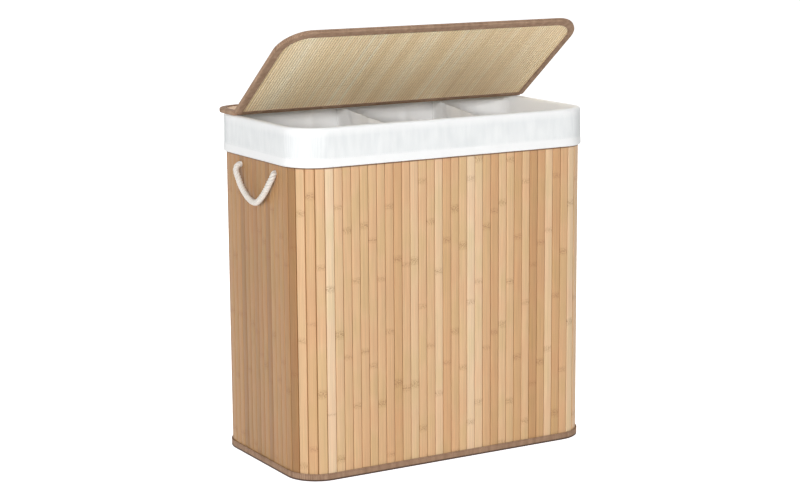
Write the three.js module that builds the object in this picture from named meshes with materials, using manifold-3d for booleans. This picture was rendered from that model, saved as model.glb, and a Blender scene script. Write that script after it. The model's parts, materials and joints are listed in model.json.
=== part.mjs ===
// Laundry hamper: a mat of upright bamboo slats wrapped round a base board, a washable cotton
// liner with two dividers folded out over the rim, a folding lid and two rope handles.
// Millimetres, +Z up. Origin: on the floor under the middle of the base, front towards -Y.

import * as THREE from 'three';
import { mergeVertices } from 'three/addons/utils/BufferGeometryUtils.js';
import Module from 'manifold-3d';

// Driving dimensions of the whole hamper
const width = 600;
const depth = 330;
const rimHeight = 611.5;
const cornerRadius = 60;
const seatGap = 0.3;

// Slat mat
const slatThickness = 3;
const slatChamfer = 0.7;
const slatGroove = 0.9;
const backingThickness = 1;
const frontSlats = 28;
const sideSlats = 12;
const cornerSlats = 6;

// Cloth bindings, liner and cuff
const bottomBindingThickness = 1.2;
const bottomBindingHeight = 13;
const bottomBindingInside = 11;
const topBindingThickness = 0.8;
const topBindingHeight = 12;
const linerThickness = 1.2;
const cuffHeight = 67;
const cuffHem = 15;
const cuffHemBulge = 0.6;
const cuffWave = 0.5;
const cuffWaveLength = 46;
const cuffBackReach = 36;

// Base and corner posts
const boardThickness = 3;
const baseClothThickness = 1.2;
const postDiameter = 8;
const capWall = 1.5;
const capHeight = 14;
const rimWireDiameter = 3;
const rimWireDrop = 11;

// Dividers: where each is sewn to the rear wall and to the front wall, from the middle of the
// width. The loose liner sits turned a little in its frame, so they run aslant.
const dividerLeftRear = -55;
const dividerLeftFront = -117;
const dividerRightRear = 152;
const dividerRightFront = 70;
const dividerThickness = 1.4;
const dividerDrop = 4;
const dividerSag = 1;
const dividerBow = 5;
const linerBow = 3;

// Lid: a rear strip on the rim and a front flap that folds up from it
const lidThickness = 7.8;
const lidSideOverhang = 3;
const lidRearOverhang = 8.5;
const lidCornerRadius = 56;
const lidFoldCornerRadius = 4;
const stripDepth = 100;
const flapLength = 252.5;
const flapOpenAngle = 37.2;
const foldEdgeGap = 0.3;
const lidBindingThickness = 0.9;
const lidBindingWidth = 13.5;
const lidBindingFoldWidth = 8;
const lidSlatThickness = 2;
const lidBoardThickness = 1.2;
const splintPitch = 4.6;
const splintGroove = 0.5;
const lidSlatPitch = 16.8;
const foldTapeWidth = 12;
const foldTapeThickness = 0.5;

// Rear hinge cloth
const rearClothDrop = 62;
const rearClothThickness = 1;

// Rope handles
const ropeDiameter = 11;
const ropeHoleClearance = 0.4;
const ropeHoleDrop = 83.5;
const ropeHoleHeight = rimHeight - ropeHoleDrop;
const ropeHoleRear = 59;
const ropeHoleFront = -73;
const ropeAxisOut = 6.6;
const knotDiameter = 18;
const knotLength = 11;
const knotRoomAbove = 22;
const knotFadeBelow = 150;
const knotFadeSide = 60;

// Route of the left rope from its rear hole to its front hole, as it hangs: distance out from
// the slats, place along the wall and drop below the holes
const ropeRoute = [
  [ropeAxisOut, ropeHoleRear, 0], [9.6, 58, 1.8], [11.8, 56, 6.5], [12.6, 52.2, 12.5],
  [12.6, 46.8, 20], [12.6, 40.6, 28], [12.6, 33, 36], [12.6, 24, 43.6], [12.6, 13, 51],
  [12.6, 0.5, 57], [12.6, -12.5, 60], [12.4, -25, 58.5], [12, -38, 50.5], [11.4, -51, 39],
  [10.4, -62.5, 26.5], [9.2, -72, 14.5], [7.8, -77.5, 6], [ropeAxisOut, ropeHoleFront, 0],
];

// Resolution of the round and wavy stretches
const cornerSteps = 6;
const tubeSides = 8;
const ropeSteps = 30;
const overrun = 5;

const wasm = await Module();
wasm.setup();

const hamper = new THREE.Group();

const bambooFinish = new THREE.MeshStandardMaterial({ color: 0xd4af89, roughness: 0.55, metalness: 0 });
const bambooShade = new THREE.MeshStandardMaterial({ color: 0xcda47c, roughness: 0.55, metalness: 0 });
const bindingFinish = new THREE.MeshStandardMaterial({ color: 0x9a7560, roughness: 0.9, metalness: 0 });
const linerFinish = new THREE.MeshStandardMaterial({ color: 0xf2f3f5, roughness: 0.95, metalness: 0 });
const splintFinish = new THREE.MeshStandardMaterial({ color: 0xd0b98a, roughness: 0.7, metalness: 0 });
const ropeFinish = new THREE.MeshStandardMaterial({ color: 0xeae3d9, roughness: 0.95, metalness: 0 });
const boardFinish = new THREE.MeshStandardMaterial({ color: 0xa98a66, roughness: 0.8, metalness: 0 });
const postFinish = new THREE.MeshStandardMaterial({ color: 0xd8bf98, roughness: 0.7, metalness: 0 });
const capFinish = new THREE.MeshStandardMaterial({ color: 0x3a3532, roughness: 0.5, metalness: 0 });
const wireFinish = new THREE.MeshStandardMaterial({ color: 0x9a9da0, roughness: 0.35, metalness: 1 });

function addMesh(name, geometry, finish, parent = hamper) {
  const mesh = new THREE.Mesh(geometry, finish);
  mesh.name = name;
  parent.add(mesh);
  return mesh;
}

// Solids for joining and cutting
function toSolid(geometry) {
  const plain = geometry.clone();
  for (const key of Object.keys(plain.attributes)) {
    if (key !== 'position') plain.deleteAttribute(key);
  }
  const merged = mergeVertices(plain);
  return new wasm.Manifold(new wasm.Mesh({
    numProp: 3,
    vertProperties: new Float32Array(merged.attributes.position.array),
    triVerts: new Uint32Array(merged.index.array),
  }));
}

function toGeometry(solid) {
  const mesh = solid.getMesh();
  const geometry = new THREE.BufferGeometry();
  geometry.setAttribute('position', new THREE.BufferAttribute(mesh.vertProperties, 3));
  geometry.setIndex(new THREE.BufferAttribute(mesh.triVerts, 1));
  return geometry;
}

function fromFaces(points, faces) {
  const geometry = new THREE.BufferGeometry().setFromPoints(points);
  geometry.setIndex(faces);
  return geometry;
}

// A plan outline with round corners, counter-clockwise from the front left corner.
// radii: front left, front right, rear right, rear left.
function plan(x0, x1, y0, y1, radii, steps = cornerSteps) {
  const centres = [
    [x0 + radii[0], y0 + radii[0], Math.PI],
    [x1 - radii[1], y0 + radii[1], 1.5 * Math.PI],
    [x1 - radii[2], y1 - radii[2], 0],
    [x0 + radii[3], y1 - radii[3], 0.5 * Math.PI],
  ];
  return centres.flatMap(([x, y, start], corner) =>
    Array.from({ length: steps + 1 }, (_, step) => {
      const angle = start + (step / steps) * 0.5 * Math.PI;
      return new THREE.Vector2(x + radii[corner] * Math.cos(angle), y + radii[corner] * Math.sin(angle));
    }));
}

// The hamper's own outline, drawn in by a distance
function bodyPlan(inset, radius = cornerRadius - inset, steps = cornerSteps) {
  const x = width / 2 - inset;
  const y = depth / 2 - inset;
  return plan(-x, x, -y, y, [radius, radius, radius, radius], steps);
}

function atHeight(outline, z) {
  return outline.map((point) => new THREE.Vector3(point.x, point.y, z));
}

// A ring swept round the hamper: each loop is one edge of its section, in order round the section
function ring(loops) {
  const count = loops[0].length;
  const faces = [];
  loops.forEach((_, k) => {
    const next = (k + 1) % loops.length;
    for (let i = 0; i < count; i += 1) {
      const j = (i + 1) % count;
      const [a, b] = [k * count + i, k * count + j];
      const [c, d] = [next * count + i, next * count + j];
      faces.push(a, b, d, a, d, c);
    }
  });
  return fromFaces(loops.flat(), faces);
}

// A flat plate between two heights
function plate(outline, low, high) {
  const geometry = new THREE.ExtrudeGeometry(new THREE.Shape(outline), {
    depth: high - low,
    bevelEnabled: false,
  });
  return geometry.translate(0, 0, low);
}

// A thin sheet of cloth: place(u, v) runs over the sheet and facing(u, v) is its outward side
function sheet(place, facing, columns, rows, thickness) {
  const points = [];
  const faces = [];
  const layer = (columns + 1) * (rows + 1);
  for (const side of [0.5, -0.5]) {
    for (let row = 0; row <= rows; row += 1) {
      for (let column = 0; column <= columns; column += 1) {
        const [u, v] = [column / columns, row / rows];
        points.push(place(u, v).addScaledVector(facing(u, v), side * thickness));
      }
    }
  }
  const at = (column, row) => row * (columns + 1) + column;
  const quad = (a, b, c, d) => faces.push(a, b, c, a, c, d);
  for (let row = 0; row < rows; row += 1) {
    for (let column = 0; column < columns; column += 1) {
      const [a, b] = [at(column, row), at(column + 1, row)];
      const [c, d] = [at(column + 1, row + 1), at(column, row + 1)];
      quad(a, b, c, d);
      quad(layer + a, layer + d, layer + c, layer + b);
    }
    const [l0, l1] = [at(0, row), at(0, row + 1)];
    const [r0, r1] = [at(columns, row), at(columns, row + 1)];
    quad(l0, l1, layer + l1, layer + l0);
    quad(r1, r0, layer + r0, layer + r1);
  }
  for (let column = 0; column < columns; column += 1) {
    const [b0, b1] = [at(column, 0), at(column + 1, 0)];
    const [t0, t1] = [at(column, rows), at(column + 1, rows)];
    quad(b1, b0, layer + b0, layer + b1);
    quad(t0, t1, layer + t1, layer + t0);
  }
  return fromFaces(points, faces);
}

// Insets from the hamper's outline to each layer, outside in
const coverEase = cornerRadius * (1 - Math.cos(Math.PI / (4 * cornerSteps)));
const coverInset = linerThickness + seatGap + topBindingThickness;
const matInset = coverInset + coverEase + seatGap;
const slatBackInset = matInset + slatThickness;
const matInnerInset = slatBackInset + backingThickness;
const cornerChord = (0.5 * Math.PI * (cornerRadius - matInnerInset)) / cornerSlats;
const cornerFlat = cornerChord ** 2 / (8 * (cornerRadius - matInnerInset)) + slatChamfer / 4;
const bindingInnerInset = matInnerInset + cornerFlat + seatGap;
const wireInset = bindingInnerInset + topBindingThickness + seatGap;
const linerInset = wireInset + rimWireDiameter + seatGap;
const linerFaceInset = linerInset + linerThickness;
const baseInset = bindingInnerInset + bottomBindingThickness + seatGap;

// Heights of each layer
const matLow = bottomBindingThickness + seatGap;
const topBindingTop = rimHeight - linerThickness - seatGap;
const matHigh = topBindingTop - topBindingThickness - seatGap;
const boardLow = baseClothThickness + seatGap;
const boardHigh = boardLow + boardThickness;
const linerLow = boardHigh + seatGap;
const wireCentre = rimHeight - rimWireDrop;
const capTop = wireCentre - rimWireDiameter / 2 - seatGap;
const linerHigh = capTop;
const cuffLipLow = capTop + seatGap;

// Slat mat. The slats stand side by side on a backing cloth that runs round the hamper;
// a run is a group of neighbouring slats with its share of the backing.
const backHalfX = width / 2 - slatBackInset;
const backHalfY = depth / 2 - slatBackInset;
const backRadius = cornerRadius - slatBackInset;
const backStraightX = 2 * (backHalfX - backRadius);
const backStraightY = 2 * (backHalfY - backRadius);
const backArc = 0.5 * Math.PI * backRadius;
const backLength = 2 * (backStraightX + backStraightY) + 4 * backArc;
const slatCount = 2 * frontSlats + 2 * sideSlats + 4 * cornerSlats;
const slatPitch = backLength / slatCount;

// A point on the back face of the slats and its outward direction, at a distance round the
// hamper from the middle of the front, towards +X
function backPoint(distance) {
  const pieces = [
    [backStraightX / 2, 0], [backArc, 1], [backStraightY, 0], [backArc, 1], [backStraightX, 0],
    [backArc, 1], [backStraightY, 0], [backArc, 1], [backStraightX / 2, 0],
  ];
  let left = ((distance % backLength) + backLength) % backLength;
  let heading = 0;
  let [x, y] = [0, -backHalfY];
  for (const [length, turns] of pieces) {
    const part = Math.min(left, length);
    if (turns) {
      const turned = part / backRadius;
      const [cx, cy] = [x - backRadius * Math.sin(heading), y + backRadius * Math.cos(heading)];
      const after = heading + turned;
      [x, y] = [cx + backRadius * Math.sin(after), cy - backRadius * Math.cos(after)];
      heading = after;
    } else {
      [x, y] = [x + part * Math.cos(heading), y + part * Math.sin(heading)];
    }
    left -= part;
    if (left <= 0) break;
  }
  return { at: new THREE.Vector2(x, y), out: new THREE.Vector2(Math.sin(heading), -Math.cos(heading)) };
}

function slatRun(first, count) {
  const outer = [];
  const inner = [];
  for (let k = 0; k < count; k += 1) {
    const start = (first + k) * slatPitch + (k === 0 ? seatGap / 2 : 0);
    const end = (first + k + 1) * slatPitch - (k === count - 1 ? seatGap / 2 : 0);
    const [a, b] = [backPoint(start), backPoint(end)];
    const along = b.at.clone().sub(a.at).normalize();
    const out = new THREE.Vector2(along.y, -along.x);
    const side = slatGroove / 2;
    const place = (base, forward, high) =>
      base.at.clone().addScaledVector(along, forward).addScaledVector(out, high);
    outer.push(
      ...(k === 0 ? [] : [place(a, side, 0)]),
      place(a, k === 0 ? 0 : side, slatThickness - slatChamfer),
      place(a, (k === 0 ? 0 : side) + slatChamfer, slatThickness),
      place(b, -(k === count - 1 ? 0 : side) - slatChamfer, slatThickness),
      place(b, k === count - 1 ? 0 : -side, slatThickness - slatChamfer),
      ...(k === count - 1 ? [] : [place(b, -side, 0)]),
    );
    if (k === 0) inner.push(a.at.clone().addScaledVector(a.out, -backingThickness));
    inner.push(b.at.clone().addScaledVector(b.out, -backingThickness));
  }
  return plate([...outer, ...inner.reverse()], matLow, matHigh);
}

const runs = [
  ['slats_front', -frontSlats / 2, frontSlats],
  ['slats_corner_front_right', frontSlats / 2, cornerSlats],
  ['slats_right', frontSlats / 2 + cornerSlats, sideSlats],
  ['slats_corner_rear_right', frontSlats / 2 + cornerSlats + sideSlats, cornerSlats],
  ['slats_rear', frontSlats / 2 + 2 * cornerSlats + sideSlats, frontSlats],
  ['slats_corner_rear_left', 1.5 * frontSlats + 2 * cornerSlats + sideSlats, cornerSlats],
  ['slats_left', 1.5 * frontSlats + 3 * cornerSlats + sideSlats, sideSlats],
  ['slats_corner_front_left', 1.5 * frontSlats + 3 * cornerSlats + 2 * sideSlats, cornerSlats],
];

const ropeSlatHole = ropeDiameter + 2 * ropeHoleClearance;

function ropeHole(side, y) {
  const length = 2 * (matInnerInset + overrun);
  const drill = new THREE.CylinderGeometry(ropeSlatHole / 2, ropeSlatHole / 2, length, 2 * tubeSides);
  return drill.rotateZ(Math.PI / 2).translate(side * width / 2, y, ropeHoleHeight);
}

for (const [name, first, count] of runs) {
  let geometry = slatRun(first, count);
  if (name === 'slats_left' || name === 'slats_right') {
    const side = name === 'slats_left' ? -1 : 1;
    const holes = [ropeHoleRear, ropeHoleFront].map((y) => toSolid(ropeHole(side, y)));
    geometry = toGeometry(toSolid(geometry).subtract(holes[0]).subtract(holes[1]));
  }
  addMesh(name, geometry, name.includes('left') || name.includes('right') ? bambooShade : bambooFinish);
}

// Bindings: a folded strip of cloth over the mat's bottom edge and another over its top edge
function foldedBinding(outside, inside, edge, turn, thickness) {
  const outer = coverInset;
  const inner = bindingInnerInset;
  const loops = [
    atHeight(bodyPlan(outer - thickness), edge),
    atHeight(bodyPlan(outer - thickness), outside),
    atHeight(bodyPlan(outer), outside),
    atHeight(bodyPlan(outer), edge + turn * thickness),
    atHeight(bodyPlan(inner), edge + turn * thickness),
    atHeight(bodyPlan(inner), inside),
    atHeight(bodyPlan(inner + thickness), inside),
    atHeight(bodyPlan(inner + thickness), edge),
  ];
  return ring(turn > 0 ? loops : loops.reverse());
}

addMesh('binding_bottom',
  foldedBinding(bottomBindingHeight, bottomBindingInside, 0, 1, bottomBindingThickness), bindingFinish);
addMesh('binding_top',
  foldedBinding(topBindingTop - topBindingHeight, topBindingTop - topBindingHeight / 2,
    topBindingTop, -1, topBindingThickness), bindingFinish);

// Base: a cloth underneath and a stiff board on it
addMesh('base_cloth', plate(bodyPlan(baseInset), 0, baseClothThickness), bindingFinish);
addMesh('base_board', plate(bodyPlan(baseInset), boardLow, boardHigh), boardFinish);

// Corner posts with a cap at each end, between the mat and the liner
const capRadius = postDiameter / 2 + seatGap + capWall;
const postReach = cornerRadius - bindingInnerInset - bottomBindingThickness - seatGap - capRadius;
const postShift = (cornerRadius - postReach / Math.SQRT2);
const postX = width / 2 - postShift;
const postY = depth / 2 - postShift;
const corners = [
  ['front_left', -1, -1], ['front_right', 1, -1], ['rear_right', 1, 1], ['rear_left', -1, 1],
];

function capGeometry() {
  const bore = postDiameter / 2 + seatGap;
  const profile = [
    [0, 0], [capRadius, 0], [capRadius, capHeight], [bore, capHeight], [bore, capWall], [0, capWall],
  ];
  const lathe = new THREE.LatheGeometry(profile.map(([r, z]) => new THREE.Vector2(r, z)), 2 * cornerSteps);
  return lathe.rotateX(Math.PI / 2);
}

for (const [name, sideX, sideY] of corners) {
  const [x, y] = [sideX * postX, sideY * postY];
  const low = boardHigh + seatGap;
  const postLow = low + capWall + seatGap;
  const postHigh = capTop - capWall - seatGap;
  const length = postHigh - postLow;
  const post = new THREE.CylinderGeometry(postDiameter / 2, postDiameter / 2, length, 2 * cornerSteps);
  addMesh(`post_${name}`, post.rotateX(Math.PI / 2).translate(x, y, postLow + length / 2), postFinish);
  addMesh(`post_foot_${name}`, capGeometry().translate(x, y, low), capFinish);
  addMesh(`post_cap_${name}`, capGeometry().rotateX(Math.PI).translate(x, y, capTop), capFinish);
}

// Rim wire: keeps the mouth square, rests on the post caps
function rimWire() {
  const radius = rimWireDiameter / 2;
  const centre = wireInset + radius;
  const loops = Array.from({ length: tubeSides }, (_, k) => {
    const angle = (k / tubeSides) * 2 * Math.PI + Math.PI / tubeSides;
    const inset = centre - radius * Math.cos(angle);
    return atHeight(bodyPlan(inset), wireCentre - radius * Math.sin(angle));
  });
  return ring(loops.reverse());
}
addMesh('rim_wire', rimWire(), wireFinish);

// Liner: walls hang inside the mat, clear of the posts at the corners
const postClear = postReach - capRadius - seatGap;
const linerCornerRadius = (cornerRadius - linerInset - postClear / Math.SQRT2) / (1 - Math.SQRT1_2);
const linerHalfX = width / 2 - linerInset - linerThickness / 2;
const linerHalfY = depth / 2 - linerInset - linerThickness / 2;
const linerMidRadius = linerCornerRadius - linerThickness / 2;
const linerStraightX = linerHalfX - linerMidRadius - seatGap;
const linerStraightY = linerHalfY - linerMidRadius;
const linerRows = 4;
const linerColumns = 12;
const knotRoom = matInnerInset + seatGap + knotLength + seatGap - linerInset + coverEase;

// The cloth bows in a little between the dividers, most at half height
function bow(along, up) {
  return linerBow * Math.sin(Math.PI * up) * (0.5 - 0.5 * Math.cos(2 * Math.PI * along));
}

function longWall(side) {
  const place = (u, v) => new THREE.Vector3(
    (2 * u - 1) * linerStraightX * -side,
    side * (linerHalfY - bow((u * 3) % 1, v)),
    linerLow + v * (linerHigh - linerLow));
  const facing = () => new THREE.Vector3(0, side, 0);
  return sheet(place, facing, linerColumns, linerRows, linerThickness);
}

function endWall(side) {
  const arc = 0.5 * Math.PI * linerMidRadius;
  const straight = 2 * linerStraightY;
  const total = straight + 2 * arc;
  const spot = (u) => {
    const run = u * total;
    if (run < arc) {
      const angle = run / linerMidRadius;
      return [linerHalfX - linerMidRadius + linerMidRadius * Math.sin(angle),
        -linerHalfY + linerMidRadius - linerMidRadius * Math.cos(angle),
        Math.sin(angle), -Math.cos(angle)];
    }
    if (run > arc + straight) {
      const angle = (run - arc - straight) / linerMidRadius;
      return [linerHalfX - linerMidRadius + linerMidRadius * Math.cos(angle),
        linerHalfY - linerMidRadius + linerMidRadius * Math.sin(angle),
        Math.cos(angle), Math.sin(angle)];
    }
    return [linerHalfX, -linerHalfY + linerMidRadius + run - arc, 1, 0];
  };
  const columns = 4 * cornerSteps;
  const levels = [linerLow, ropeHoleHeight - knotRoomAbove - knotFadeBelow,
    ropeHoleHeight - knotRoomAbove, ropeHoleHeight + knotRoomAbove, linerHigh];
  const knotLevels = [0, 0, 1, 1, 0];
  const order = (u) => (side > 0 ? u : 1 - u);
  const place = (u, v) => {
    const [x, y, nx, ny] = spot(order(u));
    const row = Math.round(v * (levels.length - 1));
    const beyond = Math.abs(u - 0.5) * total - linerStraightY;
    const stand = knotRoom * knotLevels[row] * THREE.MathUtils.clamp(1 - beyond / knotFadeSide, 0, 1);
    return new THREE.Vector3(side * (x - nx * stand), y - ny * stand, levels[row]);
  };
  const facing = (u) => {
    const [, , nx, ny] = spot(order(u));
    return new THREE.Vector3(side * nx, ny, 0);
  };
  return sheet(place, facing, columns, levels.length - 1, linerThickness);
}

addMesh('liner_front', longWall(-1), linerFinish);
addMesh('liner_rear', longWall(1), linerFinish);
addMesh('liner_left', endWall(-1), linerFinish);
addMesh('liner_right', endWall(1), linerFinish);

const floorInset = linerFaceInset + linerBow + seatGap;
const floorRadius = linerCornerRadius - linerThickness;
addMesh('liner_floor',
  plate(bodyPlan(floorInset, floorRadius), linerLow, linerLow + linerThickness), linerFinish);

// Dividers: each hangs between seams in the rear and front walls and bows a little at half height
function divider(rearX, frontX) {
  const low = linerLow + linerThickness + seatGap;
  const front = -linerHalfY + linerThickness / 2 + linerBow + seatGap;
  const rear = linerHalfY - linerThickness / 2 - linerBow - seatGap;
  const place = (u, v) => {
    const x = frontX + u * (rearX - frontX) + dividerBow * Math.sin(Math.PI * u) * Math.sin(Math.PI * v);
    const top = rimHeight - dividerDrop - dividerSag * Math.sin(Math.PI * u);
    return new THREE.Vector3(x, front + u * (rear - front), low + v * (top - low));
  };
  const facing = () => new THREE.Vector3(1, 0, 0);
  return sheet(place, facing, linerColumns, linerRows, dividerThickness);
}
addMesh('divider_left', divider(dividerLeftRear, dividerLeftFront), linerFinish);
addMesh('divider_right', divider(dividerRightRear, dividerRightFront), linerFinish);

// Cuff: the liner's top folded out over the rim, with a hem, open across the rear
// where the lid's hinge cloth is sewn to the mat
const cuffLow = rimHeight - cuffHeight;

function cuffOutline(inset) {
  const outline = bodyPlan(inset);
  const spread = [];
  outline.forEach((point, i) => {
    const next = outline[(i + 1) % outline.length];
    spread.push(point);
    const steps = Math.round(point.distanceTo(next) / cuffWaveLength);
    for (let k = 1; k < steps; k += 1) spread.push(point.clone().lerp(next, k / steps));
  });
  return spread;
}

// The cuff's stations moved in by a distance, each towards its own corner's centre, with
// every other one drawn in a little more where the cloth is wavy
function cuffLoop(inset, wave) {
  const [cx, cy] = [width / 2 - cornerRadius, depth / 2 - cornerRadius];
  return cuffOutline(0).map((point, i) => {
    const hold = new THREE.Vector2(
      THREE.MathUtils.clamp(point.x, -cx, cx), THREE.MathUtils.clamp(point.y, -cy, cy));
    const out = point.clone().sub(hold).normalize();
    return point.addScaledVector(out, -inset - (i % 2) * wave);
  });
}

function cuff() {
  const fold = linerThickness / 2;
  const section = [
    [linerThickness, cuffLow], [linerThickness, rimHeight - linerThickness],
    [linerInset, rimHeight - linerThickness], [linerInset, cuffLipLow], [linerFaceInset, cuffLipLow],
    [linerFaceInset, rimHeight - fold], [linerFaceInset - fold, rimHeight], [fold, rimHeight],
    [0, rimHeight - fold], [0, rimHeight - cuffHeight / 2, cuffWave], [0, cuffLow + cuffHem, cuffWave],
    [-cuffHemBulge, cuffLow + cuffHem / 2], [0, cuffLow],
  ];
  return ring(section.map(([inset, z, wave = 0]) => atHeight(cuffLoop(inset, wave), z)).reverse());
}

function cuffSolid() {
  const whole = toSolid(cuff());
  const halfOpening = width / 2 - cornerRadius - cuffBackReach;
  const outside = depth / 2 - coverInset;
  const cut = new THREE.BoxGeometry(2 * halfOpening, 2 * overrun, 2 * cuffHeight);
  cut.translate(0, outside + overrun, rimHeight);
  return toGeometry(whole.subtract(toSolid(cut)));
}
addMesh('liner_cuff', cuffSolid(), linerFinish);

// Lid panels. Each is a stack in a cloth binding: bamboo slats on top, a stiff card and
// a lining of fine splints underneath. Built closed, fold line along X.
const lidLow = rimHeight + seatGap;
const lidHalfX = width / 2 + lidSideOverhang;
const lidRear = depth / 2 + lidRearOverhang;
const foldY = lidRear - stripDepth;
const foldZ = lidLow + lidThickness + seatGap + foldTapeThickness / 2;

// Panel outline drawn in by a distance; the fold side is at y = 0 and the panel runs to +Y
function lidPlan(length, inset, foldInset = inset, steps = cornerSteps) {
  const far = Math.max(lidCornerRadius - inset, lidFoldCornerRadius);
  const near = Math.max(lidFoldCornerRadius - inset, seatGap);
  return plan(-lidHalfX + inset, lidHalfX - inset, foldInset, length - inset, [near, near, far, far], steps);
}

// Ribbed sheet whose ribs run from front to back: each rib is one pitch wide
function ribbed(length, pitch, groove, chamfer, low, high, outline) {
  const ribs = Math.floor((2 * lidHalfX) / pitch);
  const points = [];
  for (let k = 0; k < ribs; k += 1) {
    const x = (k - ribs / 2) * pitch;
    points.push([x, high - groove], [x + chamfer, high], [x + pitch - chamfer, high]);
  }
  points.push([ribs / 2 * pitch, high - groove], [ribs / 2 * pitch, low], [-ribs / 2 * pitch, low]);
  const shape = new THREE.Shape(points.map(([x, z]) => new THREE.Vector2(x, z)).reverse());
  const bar = new THREE.ExtrudeGeometry(shape, { depth: length + 2 * overrun, bevelEnabled: false });
  bar.rotateX(Math.PI / 2).translate(0, length + overrun, 0);
  return toSolid(bar).intersect(toSolid(plate(outline, low - overrun, high + overrun)));
}

function lidPanel(prefix, length, group) {
  const stackInset = lidBindingThickness + seatGap;
  const outline = lidPlan(length, stackInset);
  const splintThickness = lidThickness - 2 * stackInset - lidSlatThickness - lidBoardThickness - 2 * seatGap;
  const splintLow = stackInset;
  const boardLowZ = splintLow + splintThickness + seatGap;
  const slatLow = boardLowZ + lidBoardThickness + seatGap;
  const slats = ribbed(length, lidSlatPitch, slatChamfer, slatChamfer / 2, slatLow,
    slatLow + lidSlatThickness, outline);
  const splints = ribbed(length, splintPitch, splintGroove, splintPitch / 4, -splintLow - splintThickness,
    -splintLow, outline.map((p) => new THREE.Vector2(-p.x, p.y)).reverse()).mirror([0, 0, 1]);
  addMesh(`${prefix}_slats`, toGeometry(slats), bambooFinish, group);
  addMesh(`${prefix}_board`, plate(outline, boardLowZ, boardLowZ + lidBoardThickness), boardFinish, group);
  addMesh(`${prefix}_splints`, toGeometry(splints), splintFinish, group);
  const full = lidPlan(length, 0);
  const inside = lidPlan(length, lidBindingThickness);
  const lip = lidPlan(length, lidBindingWidth, lidBindingFoldWidth);
  const binding = [
    atHeight(full, 0), atHeight(full, lidThickness), atHeight(lip, lidThickness),
    atHeight(lip, lidThickness - lidBindingThickness), atHeight(inside, lidThickness - lidBindingThickness),
    atHeight(inside, lidBindingThickness), atHeight(lip, lidBindingThickness), atHeight(lip, 0),
  ];
  addMesh(`${prefix}_binding`, ring(binding), bindingFinish, group);
}

const stripGroup = new THREE.Group();
stripGroup.position.set(0, foldY + foldEdgeGap, lidLow);
hamper.add(stripGroup);
lidPanel('strip', stripDepth - foldEdgeGap, stripGroup);

// Tape over the fold, sewn along the strip's front edge
const tapeLow = lidLow + lidThickness + seatGap;
const tapeEdge = lidBindingFoldWidth;
addMesh('fold_tape', plate(
  plan(-lidHalfX + tapeEdge, lidHalfX - tapeEdge, foldY, foldY + foldTapeWidth,
    Array(4).fill(foldTapeThickness), 1),
  tapeLow, tapeLow + foldTapeThickness), bindingFinish);

const flapHinge = new THREE.Group();
flapHinge.position.set(0, foldY, foldZ);
flapHinge.rotation.x = -THREE.MathUtils.degToRad(flapOpenAngle);
hamper.add(flapHinge);
const flapGroup = new THREE.Group();
flapGroup.position.set(0, -foldEdgeGap, lidLow - foldZ);
flapGroup.rotation.z = Math.PI;
flapHinge.add(flapGroup);
lidPanel('flap', flapLength - foldEdgeGap, flapGroup);

// Hinge cloth: sewn down the outside of the rear wall, it lets the rear strip lift
const rearClothHalf = width / 2 - cornerRadius - cuffBackReach - seatGap;
const rearClothOut = depth / 2 - linerThickness + rearClothThickness;
addMesh('rear_hinge_cloth', plate(
  plan(-rearClothHalf, rearClothHalf, rearClothOut - rearClothThickness, rearClothOut,
    Array(4).fill(seatGap), 1),
  rimHeight - rearClothDrop, rimHeight), bindingFinish);

// Rope handles. Each hangs from two holes in an end wall and swings up on them; inside the wall
// each end is held by a knot.
function ropeLoop(side) {
  const wall = width / 2 - matInset;
  const points = ropeRoute.map(([out, along, drop]) =>
    new THREE.Vector3(side * (wall + out), along, ropeHoleHeight - drop));
  const path = new THREE.CatmullRomCurve3(points, false, 'centripetal');
  const section = new THREE.Shape(Array.from({ length: tubeSides }, (_, k) => {
    const angle = (k / tubeSides) * 2 * Math.PI;
    return new THREE.Vector2(Math.cos(angle), Math.sin(angle)).multiplyScalar(ropeDiameter / 2);
  }));
  const tube = new THREE.ExtrudeGeometry(section, { steps: ropeSteps, extrudePath: path });
  let rope = toSolid(tube);
  for (const end of [points[0], points[points.length - 1]]) {
    const ball = new THREE.SphereGeometry(ropeDiameter / 2, tubeSides, tubeSides / 2);
    rope = rope.add(toSolid(ball.translate(end.x, end.y, end.z)));
  }
  return toGeometry(rope);
}

function knot(side, y) {
  const wall = width / 2 - matInset;
  const inside = width / 2 - matInnerInset - seatGap;
  const stub = ropeDiameter / 2;
  const bulge = knotDiameter / 2;
  const outer = wall + ropeAxisOut - ropeDiameter / 2 - seatGap;
  const profile = [
    [0, inside - knotLength], [stub, inside - knotLength], [bulge, inside - 0.75 * knotLength],
    [bulge, inside - 0.25 * knotLength], [stub, inside], [stub, outer], [0, outer],
  ];
  const turned = new THREE.LatheGeometry(
    profile.map(([r, x]) => new THREE.Vector2(r, x)), 2 * cornerSteps);
  return turned.rotateZ(-side * Math.PI / 2).translate(0, y, ropeHoleHeight);
}

for (const [name, side] of [['left', -1], ['right', 1]]) {
  addMesh(`rope_${name}`, ropeLoop(side), ropeFinish);
  addMesh(`knot_${name}_rear`, knot(side, ropeHoleRear), ropeFinish);
  addMesh(`knot_${name}_front`, knot(side, ropeHoleFront), ropeFinish);
}

export default hamper;
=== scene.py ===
# Laundry hamper: the looks of every surface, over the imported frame. Metres, +Z up, front towards -Y.
import json
import math
import random

import bmesh
import bpy
from mathutils import Matrix, Vector, noise


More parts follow.
